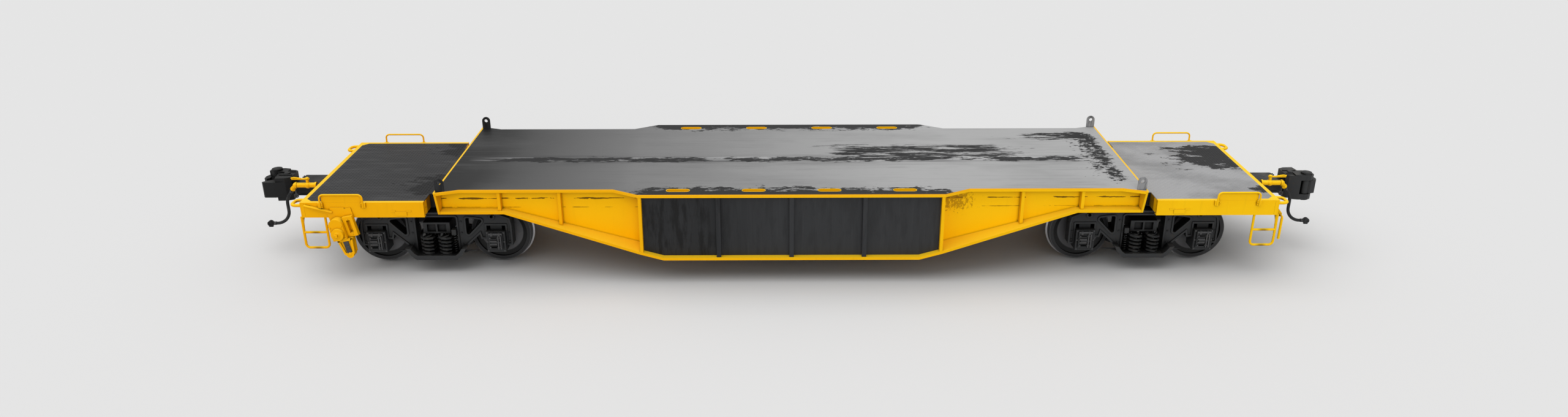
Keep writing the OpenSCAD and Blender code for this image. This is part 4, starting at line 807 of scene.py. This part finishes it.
class WAGON_OT_bogie_trim(bpy.types.Operator):
    """Rims and chins on the side frames, lids, bolts, spring caps and the inner and small springs"""

    bl_idname = "wagon.bogie_trim"
    bl_label = "Bogie Trim"

    def execute(self, context):
        size = context.scene.wagon_trim.bolt
        for end, sign in ENDS:
            middle = sign * BOGIE_X
            cast, coils, rims, lids = (bmesh.new() for _ in range(4))
            frames = frame["nodes"]["side_frames_" + end]
            for side in SIDES:
                put_rim(rims, frames, side, side * FRAME_FACE, RIM_WIDE, RIM_PROUD)
                self.journal_lids(lids, middle, side, size)
                self.frame_details(cast, middle, side, size)
                foot, *coil = INNER_SPRING
                for i in (-1, 1):
                    for j in (-1, 1):
                        seat = (middle + i * SPRING_DX, side * (SPRING_Y + j * SPRING_DY), foot)
                        put_coil(coils, seat, *coil)
                foot, *coil = DAMPER_SPRING
                x = middle - sign * DAMPER_DX
                put_coil(coils, (x, side * DAMPER_Y, foot), *coil)
                put_box(cast, (x - WEDGE_HALF, side * WEDGE_Y[0], WEDGE_Z[0]),
                        (x + WEDGE_HALF, side * WEDGE_Y[1], WEDGE_Z[1]))
            finish_piece(rims, "frame_rims_" + end, "bogie_" + end, "cast_steel")
            finish_piece(cast, "bogie_trim_" + end, "bogie_" + end, "cast_steel")
            finish_piece(lids, "journal_lids_" + end, "bogie_" + end, "pipe_steel")
            finish_piece(coils, "inner_springs_" + end, "bogie_" + end, "spring_steel")
        return {"FINISHED"}

    def journal_lids(self, bm, middle, side, size):
        """Slats, ribs, hinge and bolts on the journal boxes of one side."""
        face = side * BOX_FACE
        for axle in (-1, 1):
            x = middle + axle * AXLE_DX
            for i in range(SLATS):
                z = AXLE_Z + SLAT_LOW + SLAT_STEP * i
                put_box(bm, (x + SLAT_X[0], face - SLAT_BACK, z),
                        (x + SLAT_X[1], face + side * SLAT_PROUD, z + SLAT_TALL))
            for dx in RIBS_DX:
                put_box(bm, (x + dx - RIB_HALF, face - RIB_BACK, AXLE_Z - RIB_REACH),
                        (x + dx + RIB_HALF, face + side * RIB_PROUD, AXLE_Z + RIB_REACH))
            dx, y, dz = HINGE
            put_turned(bm, (x + dx, side * y, AXLE_Z + dz), (1, 0, 0), HINGE_PROFILE, 14)
            for dx in LEAVES_DX:
                put_box(bm, (x + dx - LEAF_HALF, side * LEAF_Y[0], AXLE_Z + LEAF_Z[0]),
                        (x + dx + LEAF_HALF, side * LEAF_Y[1], AXLE_Z + LEAF_Z[1]))
            for dx in BOX_BOLTS_DX:
                for dz in BOX_BOLTS_DZ:
                    spot = (x + dx, side * BOX_FLANGE, AXLE_Z + dz)
                    put_bolt(bm, spot, (0, side, 0), size * BOX_BOLT_SHARE)

    def frame_details(self, bm, middle, side, size):
        """The chin under the spring seat, the spring caps and the bolts of one side frame."""
        for dx in (-1, 1):
            bolts = [(COLUMN_BOLT_DX, z, FRAME_BOLT_SHARE) for z in COLUMN_BOLT_Z]
            bolts += [(x, z, CHORD_BOLT_SHARE) for x, z in CHORD_BOLTS]
            bolts += [(LEG_BOLT_DX, z, FRAME_BOLT_SHARE) for z in LEG_BOLT_Z]
            for x, z, share in bolts:
                put_bolt(bm, (middle + dx * x, side * FRAME_FACE, z), (0, side, 0), size * share)
            for j in (-1, 1):
                seat = (middle + dx * SPRING_DX, side * (SPRING_Y + j * SPRING_DY), SPRING_CAP_Z)
                put_turned(bm, seat, (0, 0, 1), SPRING_CAP_PROFILE, 24)
        chin = [(-x, z) for x, z in CHIN_OUTSIDE] + [*reversed(CHIN_OUTSIDE)]
        chin += [*reversed(CHIN_HOLLOW)] + [(-x, z) for x, z in CHIN_HOLLOW]
        join_rings(bm, [[bm.verts.new((middle + x, side * y, z)) for x, z in chin] for y in CHIN_Y])


# Coupler trim

# height above the coupler's middle and profile of the pin's cap, its nut and the lock lift
PIN_CAP_Z, PIN_CAP_PROFILE = 0.228, ((0, 0.066), (0.004, 0.066), (0.01, 0.05), (0.01, 0.02))
PIN_NUT_Z, PIN_NUT_PROFILE = -0.21, ((0, 0.046), (0.016, 0.046), (0.022, 0.036), (0.022, 0.02))
LIFT, LIFT_PROFILE = (7.9, -0.02, 0.184), ((0, 0.05), (0.014, 0.05), (0.022, 0.04), (0.022, 0.01))
HEAD_RIBS_Y, HEAD_RIB_HALF, HEAD_RIB_X, HEAD_RIB_Z = (-0.1, 0.05), 0.012, (7.8, 8.0), (0.18, 0.198)
HEAD_COLLAR_X, HEAD_COLLAR_HALF_Y, HEAD_COLLAR_HALF_Z = (7.77, 7.79), 0.12, 0.1
# bolts round the striker's mouth and along its cheeks, and the ledge under those
MOUTH_DX, MOUTH_Y, MOUTH_DZ = 0.53, (-0.17, -0.12, 0.12, 0.17), (-0.085, 0.085)
CHEEK_DX, CHEEK_Y, CHEEK_DZ = (0.06, 0.2, 0.34), 0.19, 0.04
CHEEK_LEDGE_LONG, CHEEK_LEDGE_Y, CHEEK_LEDGE_DZ = 0.48, (0.186, 0.2), (-0.09, -0.068)


class WAGON_OT_coupler_trim(bpy.types.Operator):
    """Ribs, pin caps and lock lifts on the couplers, and the strikers' bolts and ledges"""

    bl_idname = "wagon.coupler_trim"
    bl_label = "Coupler Trim"

    def execute(self, context):
        size = context.scene.wagon_trim.bolt
        for end, sign in ENDS:
            turn = Matrix.Rotation(0.0 if sign > 0 else math.pi, 4, "Z")
            for name, body, bm in (("coupler_trim_", "coupling_" + end, self.coupler()),
                                   ("striker_trim_", "wagon", self.striker(size))):
                bmesh.ops.transform(bm, matrix=turn, verts=bm.verts)
                finish_piece(bm, name + end, body, "cast_steel")
        return {"FINISHED"}

    def coupler(self):
        """What stands on the right-hand coupler's head."""
        bm = bmesh.new()
        pin = Vector((*KNUCKLE_PIN, COUPLER_Z))
        put_turned(bm, pin + Vector((0, 0, PIN_CAP_Z)), (0, 0, 1), PIN_CAP_PROFILE, 28)
        put_turned(bm, pin + Vector((0, 0, PIN_NUT_Z)), (0, 0, -1), PIN_NUT_PROFILE, 6)
        low, high = (COUPLER_Z + dz for dz in HEAD_RIB_Z)
        for y in HEAD_RIBS_Y:
            put_box(bm, (HEAD_RIB_X[0], y - HEAD_RIB_HALF, low), (HEAD_RIB_X[1], y + HEAD_RIB_HALF, high))
        put_turned(bm, Vector(LIFT) + Vector((0, 0, COUPLER_Z)), (0, 0, 1), LIFT_PROFILE)
        put_box(bm, (HEAD_COLLAR_X[0], -HEAD_COLLAR_HALF_Y, COUPLER_Z - HEAD_COLLAR_HALF_Z),
                (HEAD_COLLAR_X[1], HEAD_COLLAR_HALF_Y, COUPLER_Z + HEAD_COLLAR_HALF_Z))
        return bm

    def striker(self, size):
        """What is bolted to the right-hand striker."""
        bm = bmesh.new()
        for y in MOUTH_Y:
            for dz in MOUTH_DZ:
                spot = (WAGON_END + MOUTH_DX, y, COUPLER_Z + dz)
                put_bolt(bm, spot, (1, 0, 0), size * MOUTH_BOLT_SHARE)
        low, high = (COUPLER_Z + dz for dz in CHEEK_LEDGE_DZ)
        for side in SIDES:
            for dx in CHEEK_DX:
                put_bolt(bm, (WAGON_END + dx, side * CHEEK_Y, COUPLER_Z + CHEEK_DZ), (0, side, 0), size)
            put_box(bm, (WAGON_END, side * CHEEK_LEDGE_Y[0], low),
                    (WAGON_END + CHEEK_LEDGE_LONG, side * CHEEK_LEDGE_Y[1], high))
        return bm


# Platform trim

IRON_BOLT_INSET, IRON_BOLTS_Z = 0.033, (1.135, 1.17)
# plate on a side sill and its two ears: along, how far into and out of the sill's face, and height
SILL_PLATE_X, SILL_PLATE_IN, SILL_PLATE_OUT, SILL_PLATE_Z = (5.63, 5.8), 0.008, 0.01, (0.985, 1.05)
SILL_EARS_X, SILL_EAR_HALF, SILL_EAR_OUT, SILL_EAR_Z = (5.6, 5.83), 0.035, 0.006, (1.045, 1.068)
BOARD_HALF, BOARD_Y, BOARD_TOP = 0.295, (-1.338, -1.331), 1.298
# cap on an end sill's open end, and the outline and thickness of a step's stiffening plate
SILL_CAP_X, SILL_CAP_Y, SILL_CAP_Z = (7.117, 7.173), (1.333, 1.339), (0.96, 1.19)
STEP_PLATE, STEP_PLATE_THICK = ((7.206, 0.96), (7.206, 0.6), (7.178, 0.6), (7.162, 0.96)), 0.012
# sleeve round an end loop, and the collars at its feet
SLEEVE_RADIUS, SLEEVE_SUNK, SLEEVE_STEPS = 0.024, 0.01, 6
LOOP_COLLAR_PROFILE = ((-SUNK, 0.03), (0.01, 0.03), (0.016, 0.022), (0.016, 0.016))
LOOP_COLLAR_DY = 0.1054
# nut, key and bowed handle of an angle cock, and the ring that hangs from it
COCK_NUT_OUT = 0.055
COCK_NUT_PROFILE = ((0, 0.03), (0, 0.043), (0.03, 0.043), (0.036, 0.036), (0.036, 0.03))
KEY_Z, KEY_PROFILE = 0.11, ((-SUNK, 0.03), (0.008, 0.03), (0.018, 0.018), (0.022, 0.006))
BOW, BOW_RADIUS = ((0.1, 0.0), (0.15, 0.006), (0.2, 0.012), (0.245, 0.004)), 0.012
RING_DX, RING_DZ, RING_RADIUS, RING_WIRE = 0.01, -0.175, 0.03, 0.006
RING_START, RING_SWEEP, RING_STEPS = 100, 340, 16
RING_LINK_Z, RING_LINK_WIRE = (0.026, 0.15), 0.005
LEVER_SLEEVE, LEVER_SLEEVE_RADIUS = 0.335, 0.019


class WAGON_OT_platform_trim(bpy.types.Operator):
    """Bolts, sill plates, toe boards, step plates, loop and lever sleeves, and the angle cocks' handles"""

    bl_idname = "wagon.platform_trim"
    bl_label = "Platform Trim"

    def execute(self, context):
        size = context.scene.wagon_trim.bolt
        bm, rings, sleeves = (bmesh.new() for _ in range(3))
        for _, sign in ENDS:
            self.irons(bm, sign, size)
            for side in SIDES:
                self.corner(bm, sign, side)
                self.sill_plate(bm, sign, side)
            self.cock(bm, rings, sign)
            x, y, z = LEVER_END
            handle = Vector((sign * x, -sign * y, z))
            put_tube(sleeves, [handle, handle - Vector((0, 0, LEVER_SLEEVE))], LEVER_SLEEVE_RADIUS, 14)
        finish_piece(bm, "platform_trim", "wagon", "yellow_paint")
        finish_piece(rings, "cock_rings", "wagon", "pipe_steel")
        finish_piece(sleeves, "lever_sleeves", "wagon", "yellow_paint")
        return {"FINISHED"}

    def irons(self, bm, sign, size):
        """The bolts in the feet of an end's two grab irons, and the toe board behind the near one."""
        for side, x in ((-1, NEAR_IRON), (1, FAR_IRON)):
            for foot in (-1, 1):
                along = x + foot * (IRON_FOOT_DX - IRON_BOLT_INSET)
                for z in IRON_BOLTS_Z:
                    spot = (sign * along, side * IRON_FACE, z)
                    put_bolt(bm, spot, (0, side, 0), size * IRON_BOLT_SHARE)
        board = sign * NEAR_IRON
        put_box(bm, (board - BOARD_HALF, BOARD_Y[0], PLATFORM_TOP - SUNK),
                (board + BOARD_HALF, BOARD_Y[1], BOARD_TOP))

    def sill_plate(self, bm, sign, side):
        """The small plate on a side sill, with an ear at each upper corner."""
        back = side * (SILL_FACE - SILL_PLATE_IN)
        put_box(bm, (sign * SILL_PLATE_X[0], back, SILL_PLATE_Z[0]),
                (sign * SILL_PLATE_X[1], side * (SILL_FACE + SILL_PLATE_OUT), SILL_PLATE_Z[1]))
        front = side * (SILL_FACE + SILL_EAR_OUT)
        for x in SILL_EARS_X:
            put_box(bm, (sign * x - SILL_EAR_HALF, back, SILL_EAR_Z[0]),
                    (sign * x + SILL_EAR_HALF, front, SILL_EAR_Z[1]))

    def corner(self, bm, sign, side):
        """An end sill's cap, a step's stiffening plate, and the sleeve and collars of an end loop."""
        put_box(bm, (sign * SILL_CAP_X[0], side * SILL_CAP_Y[0], SILL_CAP_Z[0]),
                (sign * SILL_CAP_X[1], side * SILL_CAP_Y[1], SILL_CAP_Z[1]))
        faces = (STEP_Y, STEP_Y + STEP_PLATE_THICK)
        join_rings(bm, [[bm.verts.new((sign * x, side * y, z)) for x, z in STEP_PLATE] for y in faces])
        route = [(WAGON_END - SLEEVE_SUNK, -LOOP_HALF)]
        for way in (-1, 1):
            for i in range(SLEEVE_STEPS + 1):
                turn = math.pi / 2 * (i if way < 0 else SLEEVE_STEPS - i) / SLEEVE_STEPS
                across = LOOP_HALF - LOOP_BEND + LOOP_BEND * math.cos(turn)
                route.append((LOOP_BEND_X + LOOP_BEND * math.sin(turn), way * across))
        route.append((WAGON_END - SLEEVE_SUNK, LOOP_HALF))
        put_tube(bm, [(sign * x, side * LOOP_Y + y, LOOP_Z) for x, y in route], SLEEVE_RADIUS, 12)
        for dy in (-LOOP_COLLAR_DY, LOOP_COLLAR_DY):
            foot = (sign * WAGON_END, side * LOOP_Y + dy, LOOP_Z)
            put_turned(bm, foot, (sign, 0, 0), LOOP_COLLAR_PROFILE)

    def cock(self, bm, rings, sign):
        """An angle cock's nut, key and handle, and the ring on its link."""
        middle = Vector((sign * COCK[0], HOSE_Y, COCK[1]))
        tip = Vector((sign * math.cos(NIPPLE_TILT), 0, -math.sin(NIPPLE_TILT)))
        put_turned(bm, middle + tip * COCK_NUT_OUT, tip, COCK_NUT_PROFILE, 6)
        key = middle + Vector((-sign * COCK_KEY, 0, KEY_Z))
        put_turned(bm, key, (0, 0, 1), KEY_PROFILE, 6)
        put_tube(bm, [key + Vector((sign * u, 0, h)) for u, h in BOW], BOW_RADIUS, 10)
        hang = middle + Vector((sign * RING_DX, 0, RING_DZ))
        turns = [math.radians(RING_START + RING_SWEEP * i / RING_STEPS) for i in range(RING_STEPS + 1)]
        ring = [hang + RING_RADIUS * Vector((math.cos(t), 0, math.sin(t))) for t in turns]
        put_tube(rings, ring, RING_WIRE, 8)
        put_tube(rings, [hang + Vector((0, 0, h)) for h in RING_LINK_Z], RING_LINK_WIRE, 8)


# Brake trim: places on the hand brake are from its own place, before it leans

HOUSING_BOLTS_X, HOUSING_BOLTS_Z, HOUSING_FACE = (-0.085, 0.085), (-0.145, 0.05), -0.134
HUB_PROFILE = ((-SUNK, 0.09), (0.006, 0.09), (0.012, 0.07), (0.012, 0.05), (0.02, 0.045), (0.02, 0.02))
SQUARE_HALF, SQUARE_Y = 0.018, (-0.225, -0.195)
HUB_BOLTS, HUB_BOLTS_RADIUS = 6, 0.075
GUIDE_X, GUIDE_FACE, GUIDE_BOLTS_Z = 0.18, -0.074, (-0.12, 0.12)
CLEVIS_PIN = (CHAIN_X, -0.112, -0.407)
CLEVIS_PIN_PROFILE = ((-SUNK, 0.03), (0.014, 0.03), (0.02, 0.02), (0.02, 0.01))
CLEVIS_RIM_WIDE, CLEVIS_RIM_PROUD = 0.03, 0.018
# flange on the bracket's sloping brace: its corners before it is turned, and its slope as fall over run
BRACE_LOW, BRACE_HIGH = (-7.11, -1.395, 1.101), (-6.7, -1.35, 1.113)
BRACE_SLOPE = math.atan2(0.1, 0.378)
CHAIN_LINKS_Z, CHAIN_LINK_FACE = (-0.36, -0.3, -0.24), -0.1
CHAIN_LINK_PROFILE = ((0, 0.034), (0.022, 0.034), (0.026, 0.028), (0.026, 0.01))
CHAIN_BAR_HALF, CHAIN_BAR_Y, CHAIN_BAR_Z = 0.038, (-0.12, -0.1), (-0.4, -0.2)
BANDS_DX, BAND_HALF, BAND_RADII = (-0.16, 0.16), 0.02, (0.196, 0.206)
DRAIN_DROP, DRAIN_PROFILE = 0.195, ((0, 0.03), (0.02, 0.03), (0.02, 0.014), (0.06, 0.014))
CYLINDER_BOLTS, CYLINDER_BOLTS_RADIUS = 10, 0.16


class WAGON_OT_brake_trim(bpy.types.Operator):
    """Bolts, pins, chain and the winding square of the hand brake, and bands and bolts on the air gear"""

    bl_idname = "wagon.brake_trim"
    bl_label = "Brake Trim"

    def execute(self, context):
        size = context.scene.wagon_trim.bolt
        lean = Matrix.Translation(BRAKE_PLACE) @ Matrix.Rotation(BRAKE_LEAN, 4, "Y")
        bm = self.winder(size)
        bmesh.ops.transform(bm, matrix=lean, verts=bm.verts)
        clevis = frame["nodes"]["hand_brake_clevis"]
        put_rim(bm, clevis, -1, CLEVIS_FACE, CLEVIS_RIM_WIDE, CLEVIS_RIM_PROUD)
        put_box(bm, BRACE_LOW, BRACE_HIGH, Matrix.Rotation(BRACE_SLOPE, 4, "Y"))
        finish_piece(bm, "hand_brake_trim", "wagon", "yellow_paint")
        bm = self.chain()
        bmesh.ops.transform(bm, matrix=lean, verts=bm.verts)
        finish_piece(bm, "hand_brake_chain", "wagon", "pipe_steel")
        finish_piece(self.air_gear(size), "air_gear_trim", "wagon", "black_paint")
        return {"FINISHED"}

    def winder(self, size):
        """The hand brake's bolts, its hub with the winding square, and the clevis pin."""
        bm = bmesh.new()
        front = (0, -1, 0)
        for x in HOUSING_BOLTS_X:
            for z in HOUSING_BOLTS_Z:
                put_bolt(bm, (x, HOUSING_FACE, z), front, size * HOUSING_BOLT_SHARE)
        put_turned(bm, (0, DRUM_FACE, DRUM_Z), front, HUB_PROFILE, 28)
        put_box(bm, (-SQUARE_HALF, SQUARE_Y[0], DRUM_Z - SQUARE_HALF),
                (SQUARE_HALF, SQUARE_Y[1], DRUM_Z + SQUARE_HALF))
        for k in range(HUB_BOLTS):
            turn = 2 * math.pi * k / HUB_BOLTS
            x, z = HUB_BOLTS_RADIUS * math.cos(turn), DRUM_Z + HUB_BOLTS_RADIUS * math.sin(turn)
            put_bolt(bm, (x, DRUM_FACE, z), front, size * HUB_BOLT_SHARE)
        for z in GUIDE_BOLTS_Z:
            put_bolt(bm, (GUIDE_X, GUIDE_FACE, z), front, size * HOUSING_BOLT_SHARE)
        put_turned(bm, CLEVIS_PIN, front, CLEVIS_PIN_PROFILE, 14)
        return bm

    def chain(self):
        """The links between the clevis's cheeks, and the bar behind them."""
        bm = bmesh.new()
        for z in CHAIN_LINKS_Z:
            put_turned(bm, (CHAIN_X, CHAIN_LINK_FACE, z), (0, -1, 0), CHAIN_LINK_PROFILE, 18)
        put_box(bm, (CHAIN_X - CHAIN_BAR_HALF, CHAIN_BAR_Y[0], CHAIN_BAR_Z[0]),
                (CHAIN_X + CHAIN_BAR_HALF, CHAIN_BAR_Y[1], CHAIN_BAR_Z[1]))
        return bm

    def air_gear(self, size):
        """Bands and a drain on the reservoir, and the bolts round the cylinder's head."""
        bm = bmesh.new()
        x, y, z = RESERVOIR
        inner, outer = BAND_RADII
        band = ((0, inner), (0, outer), (2 * BAND_HALF, outer), (2 * BAND_HALF, inner))
        for dx in BANDS_DX:
            put_turned(bm, (x + dx - BAND_HALF, y, z), (1, 0, 0), band, 40)
        put_turned(bm, (x, y, z - DRAIN_DROP), (0, 0, -1), DRAIN_PROFILE, 12)
        for k in range(CYLINDER_BOLTS):
            turn = 2 * math.pi * k / CYLINDER_BOLTS
            ring = CYLINDER_BOLTS_RADIUS * Vector((0, math.cos(turn), math.sin(turn)))
            put_bolt(bm, Vector(CYLINDER_HEAD) + ring, (1, 0, 0), size * CYLINDER_BOLT_SHARE)
        return bm


# Studio

# name, softness, tilt and lean of the lights in degrees, and how far both are turned
LIGHTS = (("front", 30, 62, 0), ("top", 80, 1, -22))
LIGHT_TURN = 8


class WAGON_OT_stage(bpy.types.Operator):
    """Make the plain floor and the soft studio light"""

    bl_idname = "wagon.stage"
    bl_label = "Studio"

    def execute(self, context):
        scene = context.scene
        settings = scene.wagon_stage
        scene.view_settings.view_transform = "Standard"
        world = bpy.data.worlds.new("Studio")
        world.use_nodes = True
        backdrop = world.node_tree.nodes["Background"]
        backdrop.inputs["Color"].default_value = (1, 1, 1, 1)
        backdrop.inputs["Strength"].default_value = settings.sky
        scene.world = world
        floor = self.floor(scene, settings.floor / 2)
        # the front light leaves the floor alone, so the shade under the wagon stays dark
        unlit = bpy.data.collections.new("floor without front light")
        unlit.objects.link(floor)
        unlit.collection_objects[0].light_linking.link_state = "EXCLUDE"
        strength = {"front": settings.sun, "top": settings.top}
        for name, soft, tilt, lean in LIGHTS:
            lamp = bpy.data.lights.new(name, "SUN")
            lamp.energy = strength[name]
            lamp.angle = math.radians(soft)
            light = bpy.data.objects.new(name, lamp)
            light.rotation_euler = [math.radians(a) for a in (tilt, lean, LIGHT_TURN)]
            scene.collection.objects.link(light)
            if name == "front":
                light.light_linking.receiver_collection = unlit
        return {"FINISHED"}

    def floor(self, scene, half):
        """A flat sheet with matt paint: an even grey-white without a shine."""
        data = bpy.data.meshes.new("floor")
        corners = [(-half, -half, 0), (half, -half, 0), (half, half, 0), (-half, half, 0)]
        data.from_pydata(corners, [], [(0, 1, 2, 3)])
        made, tree, shader, _ = new_material("studio floor, matt grey-white")
        set_inputs(tree, shader, {
            "Base Color": linear("#e5e5e5"), "Roughness": 0.9, "Specular IOR Level": 0.0,
        })
        data.materials.append(made)
        floor = bpy.data.objects.new("floor", data)
        scene.collection.objects.link(floor)
        return floor


# Panel and classes


class WAGON_PT_panel(bpy.types.Panel):
    """The wagon's steps in order"""

    bl_idname = "WAGON_PT_panel"
    bl_label = "Flat Wagon"
    bl_space_type = "VIEW_3D"
    bl_region_type = "UI"
    bl_category = "Wagon"

    def draw(self, context):
        layout = self.layout
        scene = context.scene
        for group in (scene.wagon_colors, scene.wagon_trim, scene.wagon_stage):
            for name in group.__annotations__:
                layout.prop(group, name)
        for step in STEPS:
            layout.operator(step.bl_idname)


STEPS = (
    WAGON_OT_camera, WAGON_OT_hoses, WAGON_OT_finishes, WAGON_OT_tread_bars, WAGON_OT_bogie_trim,
    WAGON_OT_coupler_trim, WAGON_OT_platform_trim, WAGON_OT_brake_trim, WAGON_OT_stage,
)
GROUPS = {"wagon_colors": WagonColors, "wagon_trim": WagonTrim, "wagon_stage": WagonStage}
CLASSES = (*GROUPS.values(), *STEPS, WAGON_PT_panel)


def register():
    for cls in CLASSES:
        bpy.utils.register_class(cls)
    for name, group in GROUPS.items():
        setattr(bpy.types.Scene, name, bpy.props.PointerProperty(type=group))


def unregister():
    for name in GROUPS:
        delattr(bpy.types.Scene, name)
    for cls in reversed(CLASSES):
        bpy.utils.unregister_class(cls)


def main():
    register()
    for step in STEPS:
        group, name = step.bl_idname.split(".")
        getattr(getattr(bpy.ops, group), name)()


if __name__ == "__main__":
    main()
